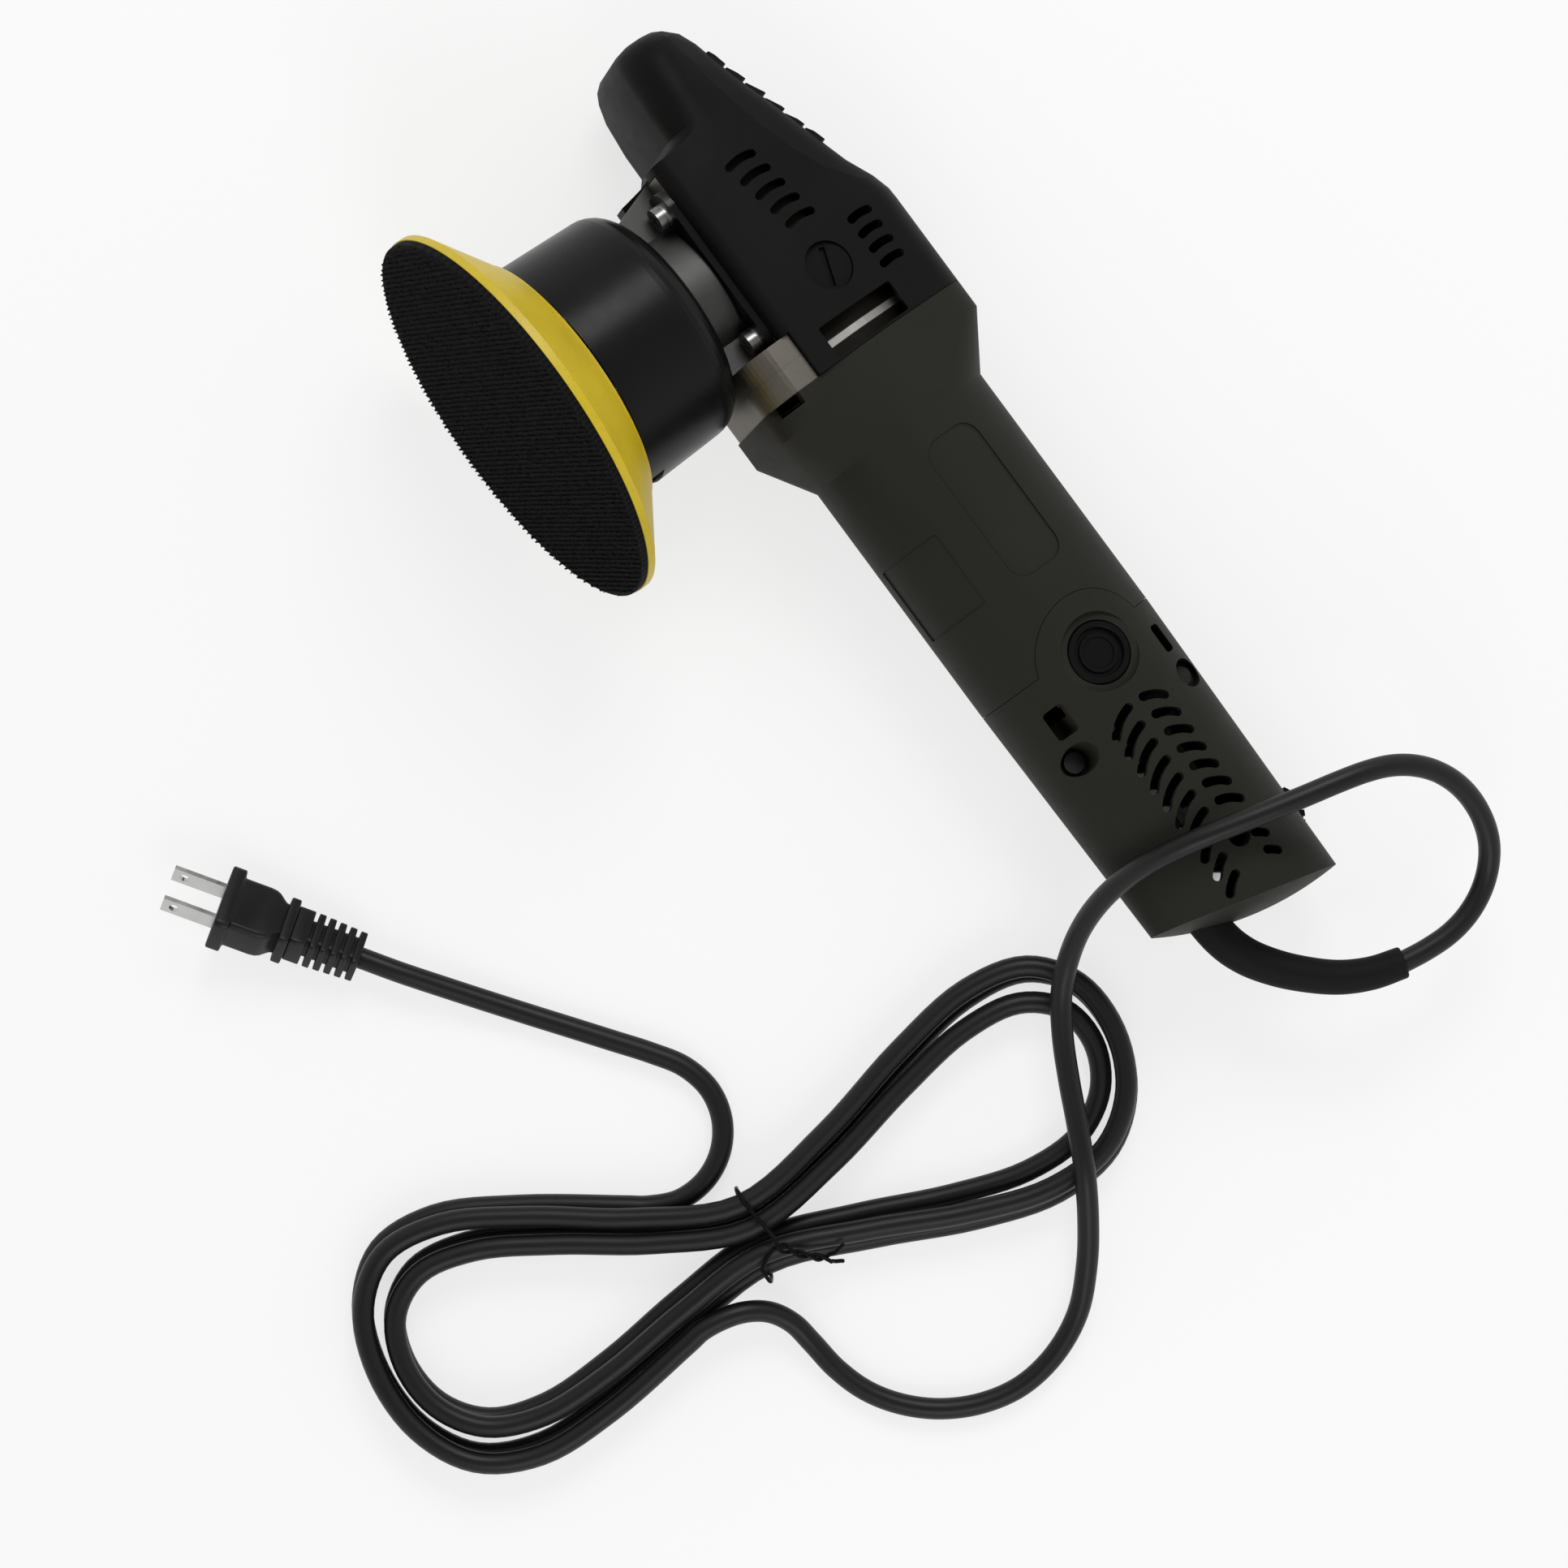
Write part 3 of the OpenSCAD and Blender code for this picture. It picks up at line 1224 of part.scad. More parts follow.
// Plug, drawn along its own axis: x runs from the cord to the blades
module at_plug() {
    on_table() translate(plug_at) rotate([0, -plug_pitch, plug_turn]) rotate([plug_roll, 0, 0]) children();
}

module plug_body() {
    flange = 5;
    fins = 5;
    fin_l = 2.2;
    fin_pitch = 4;
    relief = fins * fin_pitch;
    color(satin) at_plug() {
        for (i = [0:fins - 1]) let (w = 12 + i * 0.8)
            prism_x(fin_pitch * i, fin_pitch * i + fin_l, round_rect(0, 0, w, w * 0.8, 2));
        prism_x(fin_l / 2, relief, round_rect(0, 0, 9, 8, 2));
        prism_x(relief - fin_l / 2, relief + 4, round_rect(0, 0, 15, 11, 2.5));
        prism_x(relief + 3.5, relief + 7, round_rect(0, 0, 18.5, 12.5, 2.5));
        loft_x([[relief + 6.5, round_rect(0, 0, 13, 11, 3)], [relief + 13, round_rect(0, 0, plug_w - 4,
            plug_h - 3.5, 3)],
            [plug_l - flange + 0.5, round_rect(0, 0, plug_w - 4, plug_h - 3.5, 3)]]);
        prism_x(plug_l - flange, plug_l, round_rect(0, 0, plug_w, plug_h, plug_corner));
    }
}

module plug_blades() {
    pitch = 12.7;
    blade_w = 6.35;
    blade_t = 1.5;
    blade_l = 17.5;
    color(steel) at_plug() for (s = [-1, 1]) translate([plug_l, s * pitch / 2, 0]) difference() {
        block([0, -blade_t / 2, -blade_w / 2], [blade_l, blade_t / 2, blade_w / 2]);
        rod_y(blade_l - 4, 0, -blade_t, blade_t, 1.6);
    }
}

head_cover_left();
head_cover_right();
grip_pad();
side_handle_plugs();
gear_case();
bearing_retainer();
retainer_screws();
spring_washers();
shroud();
spindle_bearing_lower();
spindle_bearing_upper();
oil_seal();
bearing_plate();
armature_bearing_front();
motor_housing();
stator_core();
stator_coils();
fan_baffle();
armature_bearing_rear();
brush_holders();
carbon_brushes();
brush_springs();
brush_caps();
rear_handle_left();
rear_handle_right();
rear_handle_screws();
speed_board();
switch_body();
switch_rocker();
speed_dial();
cord_clamp();
cord_sleeve();
cord_lead();
cord_hank();
cord_plug_lead();
twist_tie();
plug_body();
plug_blades();
drive_spindle();
crown_gear();
eccentric_housing();
counterweight();
counterweight_screws();
plate_bearings();
armature_shaft();
rotor_core();
rotor_windings();
commutator();
cooling_fan();
pinion();
plate_spindle();
plate_hub();
plate_rivets();
backing_plate();
hook_face();
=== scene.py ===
import math

import bmesh
import bpy
from mathutils import Matrix, Vector
from mathutils.kdtree import KDTree


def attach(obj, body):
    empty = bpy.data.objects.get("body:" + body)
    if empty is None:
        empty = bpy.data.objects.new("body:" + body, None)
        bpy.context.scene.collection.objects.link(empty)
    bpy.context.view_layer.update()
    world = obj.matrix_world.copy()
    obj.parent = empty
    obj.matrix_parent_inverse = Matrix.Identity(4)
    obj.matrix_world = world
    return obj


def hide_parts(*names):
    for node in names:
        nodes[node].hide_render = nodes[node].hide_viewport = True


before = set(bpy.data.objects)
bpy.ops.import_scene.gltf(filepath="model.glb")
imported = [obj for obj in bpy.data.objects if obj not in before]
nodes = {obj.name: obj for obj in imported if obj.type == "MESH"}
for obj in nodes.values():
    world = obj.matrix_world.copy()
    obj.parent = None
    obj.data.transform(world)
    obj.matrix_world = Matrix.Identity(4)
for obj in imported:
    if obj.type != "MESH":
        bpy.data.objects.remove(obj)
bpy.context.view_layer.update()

MM = 0.001

# The upright tool rolls on to its flank; these are its sizes in millimetres
BARREL_R = 32.25
RIM_REACH = 62.0
RIM_DROP = 97.4
ROLL = math.acos(BARREL_R / math.hypot(RIM_REACH, RIM_DROP)) - math.atan(RIM_DROP / RIM_REACH)
BOX_X = 96.0
BOX_Y = -35.54


def upright(x, y, z):
    """A point of the upright tool, in millimetres, as a point of the row frame."""
    return Vector((x - BOX_X, z * math.cos(ROLL) - y * math.sin(ROLL) - BOX_Y,
                   -z * math.sin(ROLL) - y * math.cos(ROLL) + BARREL_R)) * MM


def on_table(x, y, z):
    """A point given along the tool, across it and above the table, in millimetres."""
    return Vector((x - BOX_X, y - BOX_Y, z)) * MM


UPRIGHT = Matrix.Translation(upright(0, 0, 0)) @ Matrix((
    (1, 0, 0, 0),
    (0, -math.sin(ROLL), math.cos(ROLL), 0),
    (0, -math.cos(ROLL), -math.sin(ROLL), 0),
    (0, 0, 0, 1))) @ Matrix.Scale(MM, 4)


# Camera, straight above the table; the lens is given in pixels of the square picture
PICTURE_PIXELS = 1932
LENS_PIXELS = 6533
SENSOR_MM = 36
CAMERA_AT = (0.0455, -0.060, 1.72)
CAMERA_TURN = math.radians(53.5)
camera = bpy.data.objects.new("camera", bpy.data.cameras.new("camera"))
bpy.context.scene.collection.objects.link(camera)
camera.location = CAMERA_AT
camera.rotation_euler = (0, 0, CAMERA_TURN)
camera.data.sensor_width = SENSOR_MM
camera.data.lens = LENS_PIXELS * SENSOR_MM / PICTURE_PIXELS
camera.data.clip_end = 20
bpy.context.scene.camera = camera
bpy.context.scene.view_settings.view_transform = "Standard"


class Flow:
    """A node socket that takes part in plain sums."""

    def __init__(self, tree, socket=None):
        self.tree, self.socket = tree, socket

    def node(self, kind, settings=None, sockets=None, out=0):
        """Adds a node: its settings first, then the values or links of its sockets."""
        made = self.tree.nodes.new(kind)
        for key, value in (settings or {}).items():
            setattr(made, key, value)
        for key, value in (sockets or {}).items():
            if isinstance(value, Flow):
                self.tree.links.new(value.socket, made.inputs[key])
            else:
                made.inputs[key].default_value = value
        return Flow(self.tree, made.outputs[out] if made.outputs else None)

    def other(self, key):
        """Another output of the same node."""
        return Flow(self.tree, self.socket.node.outputs[key])

    def sum_of(self, operation, a, b=0.0):
        """One Math node."""
        return self.node("ShaderNodeMath", {"operation": operation}, {0: a, 1: b})

    def step(self, value, edge, width):
        """0 below an edge and 1 above it, over a width."""
        return self.node("ShaderNodeMapRange", {"interpolation_type": "SMOOTHSTEP"}, {
            "Value": value, "From Min": edge - width / 2, "From Max": edge + width / 2})

    def __add__(self, other):
        return self.sum_of("ADD", self, other)

    def __radd__(self, other):
        return self.sum_of("ADD", other, self)

    def __sub__(self, other):
        return self.sum_of("SUBTRACT", self, other)

    def __rsub__(self, other):
        return self.sum_of("SUBTRACT", other, self)

    def __mul__(self, other):
        return self.sum_of("MULTIPLY", self, other)

    def __rmul__(self, other):
        return self.sum_of("MULTIPLY", other, self)


def tone(red, green, blue):
    """A colour read from a screen, as the light that a shader counts in."""
    def light(v):
        v /= 255
        return v / 12.92 if v <= 0.04045 else ((v + 0.055) / 1.055) ** 2.4
    return (light(red), light(green), light(blue), 1.0)


def lighter(colour, times):
    """A colour with more or less light in it."""
    return tuple(min(1.0, c * times) for c in colour[:3]) + (1.0,)


class Coat(Flow):
    """The node tree of one finish."""

    def __init__(self, name):
        self.material = bpy.data.materials.new(name)
        self.material.use_nodes = True
        self.material.node_tree.nodes.clear()
        super().__init__(self.material.node_tree)
        self.place = self.node("ShaderNodeTexCoord", out=3)

    def grain(self, size_mm, detail=2.0, roughness=0.5):
        """Soft noise from 0 to 1, with spots about size_mm across."""
        return self.node("ShaderNodeTexNoise", {}, {"Vector": self.place, "Scale": 1 / (size_mm * MM),
                                                    "Detail": detail, "Roughness": roughness})

    def mix(self, factor, a, b):
        """From one colour to another."""
        return self.node("ShaderNodeMix", {"data_type": "RGBA"}, {0: factor, 6: a, 7: b}, out=2)

    def upright_place(self):
        """Where a spot lies along, beside and above the motor of the upright tool, in millimetres."""
        turned = self.node("ShaderNodeMapping", {"vector_type": "TEXTURE"}, {
            "Vector": self.place, "Location": upright(0, 0, 0), "Rotation": UPRIGHT.to_euler(),
            "Scale": (MM, MM, MM)})
        split = self.node("ShaderNodeSeparateXYZ", {}, {0: turned})
        return split, split.other(1), split.other(2)

    def done(self, colour, roughness, height=None, depth_mm=0.05, strength=1.0, **fixed):
        """The finish itself, with a relief where a height is given; the other sockets hold fixed numbers."""
        sockets = {"Base Color": colour, "Roughness": roughness}
        sockets.update({key.replace("_", " "): value for key, value in fixed.items()})
        if height is not None:
            sockets["Normal"] = self.node("ShaderNodeBump", {}, {
                "Height": height, "Distance": depth_mm * MM, "Strength": strength})
        shader = self.node("ShaderNodeBsdfPrincipled", {}, sockets)
        self.node("ShaderNodeOutputMaterial", {}, {"Surface": shader})
        return self.material


def moulded(name, colour, roughness, grain_mm, depth_mm, sheen=0.12):
    """Moulded plastic with an etched skin."""
    coat = Coat(name)
    etched = coat.grain(grain_mm, 3.0, 0.6)
    cloud = coat.grain(38, 2.0)
    wiped = coat.grain(9, 3.0, 0.65)
    shade = coat.mix(cloud * 0.55 + etched * 0.45, lighter(colour, 0.78), lighter(colour, 1.26))
    return coat.done(shade, wiped * 0.16 + (roughness - 0.08), etched, depth_mm, strength=0.8,
                     Specular_IOR_Level=sheen)


def cast_metal(name, colour, roughness, grain_mm, depth_mm):
    """Die cast metal, blasted to an even grain."""
    coat = Coat(name)
    sand = coat.grain(grain_mm, 4.0, 0.62)
    cloud = coat.grain(16, 3.0, 0.6)
    shade = coat.mix(cloud * 0.6 + sand * 0.4, lighter(colour, 0.78), lighter(colour, 1.2))
    return coat.done(shade, cloud * 0.16 + (roughness - 0.08), sand, depth_mm, strength=0.7,
                     Metallic=1.0)


# Where the cover shuts the gear case in, painted in shade, and the band that its window shows, painted as a
# highlight, in millimetres
CASE_SHUT_ABOVE, CASE_SHUT_BEHIND = -20.3, -33.6
STRIP_FROM, STRIP_TO = 38.2, 40.6


def case_metal(name):
    """Die cast case: bright where it shows; painted shade, dull and dark, where the cover shuts it in, and a
    painted highlight on a band in its window.
    """
    coat = Coat(name)
    sand = coat.grain(0.45, 4.0, 0.62)
    cloud = coat.grain(16, 3.0, 0.6)
    along, beside, above = coat.upright_place()
    # Painted light: a band in the window is painted bright as a highlight, and the case under the cover is painted
    # dark as shade
    painted_highlight_strip = coat.step(along, STRIP_FROM, 0.3) * (1.0 - coat.step(along, STRIP_TO, 0.3))
    painted_shade_under_cover = coat.step(above, CASE_SHUT_ABOVE, 0.4) * coat.step(along, CASE_SHUT_BEHIND, 0.8)
    bright = coat.mix(cloud * 0.6 + sand * 0.4, tone(92, 89, 83), tone(120, 116, 108))
    # Painted shade tone(30, 29, 27) under the cover, painted highlight tone(162, 161, 157) on the window's band
    shade = coat.mix(painted_shade_under_cover, bright, coat.mix(painted_highlight_strip, tone(30, 29, 27), tone(162, 161, 157)))
    return coat.done(shade, cloud * 0.16 + 0.38, sand, depth_mm=0.05, strength=0.7, Metallic=1.0)


# The retainer is blackened outside this half width, behind its nose and above its face, in millimetres
RETAINER_HALF, RETAINER_NOSE, RETAINER_FACE = 19, -25, -26.6


def retainer_metal(name):
    """Dark cast retainer, blackened along its sides."""
    coat = Coat(name)
    sand = coat.grain(0.4, 4.0, 0.62)
    cloud = coat.grain(16, 3.0, 0.6)
    along, beside, above = coat.upright_place()
    side = coat.step(coat.sum_of("ABSOLUTE", beside), RETAINER_HALF, 1.5)
    side = side * coat.step(along, RETAINER_NOSE, 2) * coat.step(above, RETAINER_FACE, 0.6)
    grey = coat.mix(cloud * 0.6 + sand * 0.4, tone(66, 66, 65), tone(88, 88, 87))
    return coat.done(coat.mix(side, grey, tone(24, 24, 24)), cloud * 0.16 + 0.42, sand, depth_mm=0.04,
                     strength=0.7, Metallic=1.0)


def turned_metal(name, colour, roughness):
    """Machined metal with fine tool marks and a trace of handling."""
    coat = Coat(name)
    marks = coat.grain(0.35, 2.0, 0.5)
    smear = coat.grain(6, 4.0, 0.65)
    shade = coat.mix(smear, lighter(colour, 0.82), lighter(colour, 1.12))
    return coat.done(shade, smear * 0.22 + (roughness - 0.11), marks, depth_mm=0.012, strength=0.6,
                     Metallic=1.0)


def lined_metal(name, colour, pitch_mm):
    """Stacked sheets, seen on their edges along the motor."""
    coat = Coat(name)
    split = coat.node("ShaderNodeSeparateXYZ", {}, {0: coat.place})
    saw = coat.sum_of("SINE", split * (2 * math.pi / (pitch_mm * MM)))
    edge = saw * 0.5 + 0.5
    return coat.done(coat.mix(edge, lighter(colour, 0.55), colour), edge * 0.2 + 0.4, edge, depth_mm=0.08,
                     strength=0.6, Metallic=0.8)


def wound_copper(name):
    """Enamelled wire lying turn on turn."""
    coat = Coat(name)
    wires = coat.node("ShaderNodeTexWave", {"wave_type": "BANDS", "bands_direction": "DIAGONAL"},
                      {"Vector": coat.place, "Scale": 420.0, "Distortion": 2.0, "Detail": 1.0})
    value = coat.node("ShaderNodeRGBToBW", {}, {0: wires})
    # Painted shade between the turns and a painted highlight on them: the colour runs from dark to bright copper
    # across each turn
    shade = coat.mix(value, tone(92, 40, 20), tone(205, 118, 66))
    return coat.done(shade, value * 0.1 + 0.28, value, depth_mm=0.25, strength=0.8, Metallic=0.9)


def soft_rubber(name, colour, roughness, grain_mm, depth_mm, sheen=0.12):
    """Matt rubber with a fine bloom."""
    coat = Coat(name)
    pores = coat.grain(grain_mm, 3.0, 0.6)
    bloom = coat.grain(24, 3.0, 0.6)
    shade = coat.mix(bloom * 0.7 + pores * 0.3, lighter(colour, 0.75), lighter(colour, 1.35))
    return coat.done(shade, bloom * 0.14 + (roughness - 0.07), pores, depth_mm, strength=0.8,
                     Specular_IOR_Level=sheen)


def cast_urethane(name):
    """Yellow cast urethane, a little clouded, with pin pores."""
    coat = Coat(name)
    cloud = coat.grain(20, 3.0, 0.6)
    pores = coat.node("ShaderNodeTexVoronoi", {}, {"Vector": coat.place, "Scale": 700.0})
    pit = coat.sum_of("LESS_THAN", pores, 0.16)
    shade = coat.mix(cloud, tone(182, 156, 10), tone(212, 186, 24))
    # The pores are also painted darker: painted shade in them
    shade = coat.mix(pit * 0.5, shade, tone(132, 110, 8))
    return coat.done(shade, cloud * 0.15 + 0.36, coat.grain(1.6, 3.0) - pit * 0.6, depth_mm=0.05, strength=0.5,
                     Specular_IOR_Level=0.5)


# Hook disc: its rows lie askew on the plate, which runs this far off the drive's axis, in millimetres
PILE_R = 65.0
PILE_ROWS = 77
PILE_PITCH = 2 * PILE_R / (PILE_ROWS - 1)
PILE_TURN = math.radians(14.65)
PLATE_OFFSET = 4.0


def hook_cloth(name):
    """Woven backing of the hook disc, with its rows."""
    coat = Coat(name)
    along, beside, above = coat.upright_place()
    across = along * math.cos(PILE_TURN) + (beside + PLATE_OFFSET) * math.sin(PILE_TURN)
    rows = coat.sum_of("COSINE", across * (2 * math.pi / PILE_PITCH)) * 0.5 + 0.5
    fuzz = coat.grain(0.5, 3.0, 0.7)
    shade = coat.mix(rows * 0.6 + fuzz * 0.4, tone(3, 3, 4), tone(27, 27, 28))
    return coat.done(shade, fuzz * 0.1 + 0.72, rows + fuzz, depth_mm=0.2, strength=0.7,
                     Specular_IOR_Level=0.08)


def printed_board(name):
    """Green board with a mesh of tracks."""
    coat = Coat(name)
    tracks = coat.node("ShaderNodeTexBrick", {}, {"Vector": coat.place, "Scale": 260.0, "Mortar Size": 0.06,
                                                  "Color1": tone(26, 82, 44), "Color2": tone(30, 92, 52),
                                                  "Mortar": tone(70, 140, 80)})
    lift = coat.node("ShaderNodeRGBToBW", {}, {0: tracks})
    return coat.done(tracks, lift * 0.1 + 0.3, lift, depth_mm=0.05, strength=0.5)


# A plastic or rubber has a colour, a roughness, the size and depth of its grain in millimetres, and a sheen
FINISHES = {
    "cover_plastic": moulded("cover_plastic", tone(15, 15, 16), 0.5, 0.45, 0.035, 0.08),
    "body_plastic": moulded("body_plastic", tone(36, 36, 32), 0.56, 0.5, 0.05, 0.09),
    "grip_rubber": soft_rubber("grip_rubber", tone(18, 18, 19), 0.68, 0.5, 0.05),
    "black_plastic": moulded("black_plastic", tone(11, 11, 12), 0.42, 0.35, 0.02, 0.08),
    "shroud_metal": moulded("shroud_metal", tone(14, 14, 15), 0.3, 0.6, 0.015, 0.14),
    "case_alloy": case_metal("case_alloy"),
    "dark_metal": retainer_metal("dark_metal"),
    "steel": turned_metal("steel", tone(196, 196, 194), 0.3),
    "lamination": lined_metal("lamination", tone(120, 120, 122), 0.5),
    "copper": wound_copper("copper"),
    "brass": turned_metal("brass", tone(198, 160, 84), 0.32),
    "carbon": soft_rubber("carbon", tone(40, 40, 42), 0.55, 0.3, 0.02),
    "board": printed_board("board"),
    "switch_red": moulded("switch_red", tone(150, 26, 24), 0.35, 0.5, 0.01),
    "cord_rubber": soft_rubber("cord_rubber", tone(16, 16, 17), 0.42, 0.7, 0.02, 0.28),
    "weight_alloy": cast_metal("weight_alloy", tone(150, 150, 148), 0.42, 0.4, 0.04),
    "urethane": cast_urethane("urethane"),
    "hook": hook_cloth("hook"),
}

# Every solid takes the finish of its slot
slot_of = {}
for name, solid in nodes.items():
    slot_of[name] = solid.material_slots[0].material.name.split(".")[0] if solid.material_slots else ""
    if slot_of[name] in FINISHES:
        solid.data.materials.clear()
        solid.data.materials.append(FINISHES[slot_of[name]])


def add_piece(name, mesh, slot, body="body", stands_for=()):
    """A finished mesh as a piece that rides on a body."""
    piece = bpy.data.objects.new(name, mesh)
    bpy.context.scene.collection.objects.link(piece)
    if not mesh.materials:
        mesh.materials.append(FINISHES[slot])
    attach(piece, body)
    if stands_for:
        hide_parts(*stands_for)
    return piece


# Mains cord: the route on the table, from the sleeve to the plug
CORD_D = 7.1
SLEEVE_LOW = 13.8  # under the motor's axis
SLEEVE_ROUTE = [(224, -SLEEVE_LOW * math.cos(ROLL), BARREL_R + SLEEVE_LOW * math.sin(ROLL)),
                (262, -SLEEVE_LOW * math.cos(ROLL), BARREL_R + SLEEVE_LOW * math.sin(ROLL)),
                (272, -10.5, 35.5), (281, -5, 35.2), (289, 2, 34.8), (296, 10, 34.5), (301, 19, 34.4),
                (304, 28.5, 34.4)]
LEAD_ROUTE = [(304, 28.5, 34.4), (305.3, 37, 34), (305.7, 46, 33.6), (304.4, 54, 33.4), (301.3, 61.5, 33.6),
              (296.6, 67.8, 35), (290.4, 72.6, 38.2), (283, 75.3, 42.3), (275, 76, 46.8),
              (267.2, 74.7, 51.5), (260, 71.4, 55.8), (254, 66.3, 60), (249.5, 60, 63.4),
              (246.3, 52.5, 66.3), (243.8, 44, 68.4), (241.3, 34, 69.8), (238.5, 23, 70.6), (234.8, 9, 70.7),
              (231.2, -5.5, 69), (229, -19.5, 63), (229.5, -32, 52.5), (233, -44, 40.5), (239, -54, 30),
              (247.5, -63.5, 24), (259, -71.5, 21.5), (272, -78.5, 20.5), (285.5, -85, 19.5), (299, -92, 19),
              (312, -100, 14.5), (324, -109, 9.5), (335.5, -121, 5.6), (342, -135, 4), (343.8, -149.5, 3.55),
              (340.8, -163, 3.55), (334.3, -175, 3.55), (325.3, -184.5, 3.55), (315, -191, 3.55),
              (303.5, -194.5, 3.8), (292, -195.7, 4.8), (283, -196.9, 6.8), (275.4, -200.9, 9.2),
              (270, -208.6, 11.5)]
PLUG_ROUTE = [(229.5, -202.7, 5), (229.4, -192.3, 4.6), (224.9, -182.9, 4.2), (216.9, -176.3, 3.8),
              (206.8, -173.7, 3.55), (196, -175.8, 3.55), (186, -181.8, 3.55), (175.5, -189.4, 3.55),
              (164.5, -197.4, 3.55), (153, -205.8, 3.7), (141, -214.4, 4.6), (128.5, -223.2, 6.2),
              (116.5, -231.5, 8)]
PLUG_W, PLUG_H, PLUG_L = 25.0, 15.5, 48.0
PLUG_TURN, PLUG_ROLL, PLUG_PITCH = math.radians(213), math.radians(40), math.radians(6)
PLUG_CORNER, FLANGE_L, PLUG_FLOAT = 2.5, 5, 0.05
PLUG_RISE = ((PLUG_W / 2 - PLUG_CORNER) * math.sin(PLUG_ROLL)
             + (PLUG_H / 2 - PLUG_CORNER) * math.cos(PLUG_ROLL) + PLUG_CORNER)
PLUG_AT = (105, -239, PLUG_RISE * math.cos(PLUG_PITCH) - (PLUG_L - FLANGE_L) * math.sin(PLUG_PITCH) + PLUG_FLOAT)

# Hank: a figure of eight in two layers, its inner turns shorter and narrower than the outer ones, bowed to one side
# and lifted at its waist, where the turns cross
HANK_AT = (252.5, -189.8)
HANK_TURN = math.radians(78.3)
HANK_TURNS = 3.5
HANK_PITCH = CORD_D + 1.4
HANK_LAYER = CORD_D + 0.8
HANK_LIFT = 2.6
HANK_REACH = (140, 131)
HANK_NEST = 9
HANK_BELLY, HANK_BELLY_STEP, HANK_BELLY_POWER = 54, 14, 1.5
HANK_BOW, HANK_BOW_RUN = 6, 50
HANK_WAIST = 32
HANK_TURNBACK = 0.15
HANK_CLIMB = 0.5


def hank_place(u, v, z):
    """A point given along the hank, across it and above the table."""
    return (HANK_AT[0] + u * math.cos(HANK_TURN) - v * math.sin(HANK_TURN),
            HANK_AT[1] + u * math.sin(HANK_TURN) + v * math.cos(HANK_TURN), z)


def ease(x):
    """From 0 to 1 with soft ends."""
    x = min(max(x, 0), 1)
    return x * x * (3 - 2 * x)


def hank_point(t):
    """The cord after t turns of the figure of eight; its second layer lies on the first."""
    a = math.radians(90 + 360 * t)
    half = HANK_TURNS / 2
    out, most = math.hypot(t - half, HANK_TURNBACK), math.hypot(half, HANK_TURNBACK)
    run = HANK_REACH[0 if math.cos(a) > 0 else 1] - HANK_NEST * (most - out)
    u = run * math.cos(a)
    belly = (HANK_BELLY + HANK_BELLY_STEP * out) * abs(math.cos(a)) ** HANK_BELLY_POWER
    v = math.sin(a) * (HANK_PITCH * out + belly)
    v += HANK_BOW * (math.hypot(1, u / HANK_BOW_RUN) - 1)
    climb = HANK_LAYER * ease((t - half + HANK_CLIMB / 2) / HANK_CLIMB)
    z = CORD_D / 2 + climb + HANK_LIFT * math.exp(-(u / HANK_WAIST) ** 2)
    return hank_place(u, v, z)


def smooth(route, parts):
    """Points of a smooth curve through a route, however unevenly its points are spaced."""
    route = [Vector(p) for p in route]
    ends = [2 * route[0] - route[1]] + route + [2 * route[-1] - route[-2]]
    line = []
    for p, q, r, s in zip(ends, ends[1:], ends[2:], ends[3:]):
        a, b, c = ((y - x).length ** 0.5 for x, y in ((p, q), (q, r), (r, s)))
        start = r - q + b * ((q - p) / a - (r - p) / (a + b))
        finish = r - q + b * ((s - r) / c - (s - q) / (b + c))
        for k in range(parts):
            u = k / parts
            line.append(q * (2 * u ** 3 - 3 * u ** 2 + 1) + start * (u ** 3 - 2 * u ** 2 + u)
                        + r * (3 * u ** 2 - 2 * u ** 3) + finish * (u ** 3 - u ** 2))
    return line + [route[-1]]


def length_of(line):
    """The length of a line from end to end."""
    return sum((b - a).length for a, b in zip(line, line[1:]))


HANK_STEPS = 24
CORD_STEPS = 6
hank_loops = [Vector(hank_point(k / HANK_STEPS)) for k in range(1, int(HANK_TURNS * HANK_STEPS))]
hank_in = hank_loops[0] + CORD_D * (hank_loops[0] - hank_loops[1]).normalized()
hank_out = hank_loops[-1] + CORD_D * (hank_loops[-1] - hank_loops[-2]).normalized()
cord_route = LEAD_ROUTE + [hank_out] + hank_loops[::-1] + [hank_in] + PLUG_ROUTE + [PLUG_AT]
cord_line = [on_table(*p) for p in smooth(cord_route, CORD_STEPS)]

curve = bpy.data.curves.new("mains_cord", "CURVE")
curve.dimensions = "3D"
curve.bevel_depth = CORD_D / 2 * MM
curve.bevel_resolution = 6
curve.use_fill_caps = True
spline = curve.splines.new("POLY")
spline.points.add(len(cord_line) - 1)
for point, place in zip(spline.points, cord_line):
    point.co = (*place, 1)
spline.use_smooth = True
curve.materials.append(FINISHES["cord_rubber"])
mains_cord = bpy.data.objects.new("mains_cord", curve)
bpy.context.scene.collection.objects.link(mains_cord)
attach(mains_cord, "body")
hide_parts("cord_lead", "cord_hank", "cord_plug_lead")


def frames_along(line):
    """Places on a line, each with its heading and two directions across it."""
    side = None
    for i, place in enumerate(line):
        way = (line[min(i + 1, len(line) - 1)] - line[max(i - 1, 0)]).normalized()
        side = way.orthogonal() if side is None else side - way * side.dot(way)
        side.normalize()
        yield place, way, side.copy(), way.cross(side)


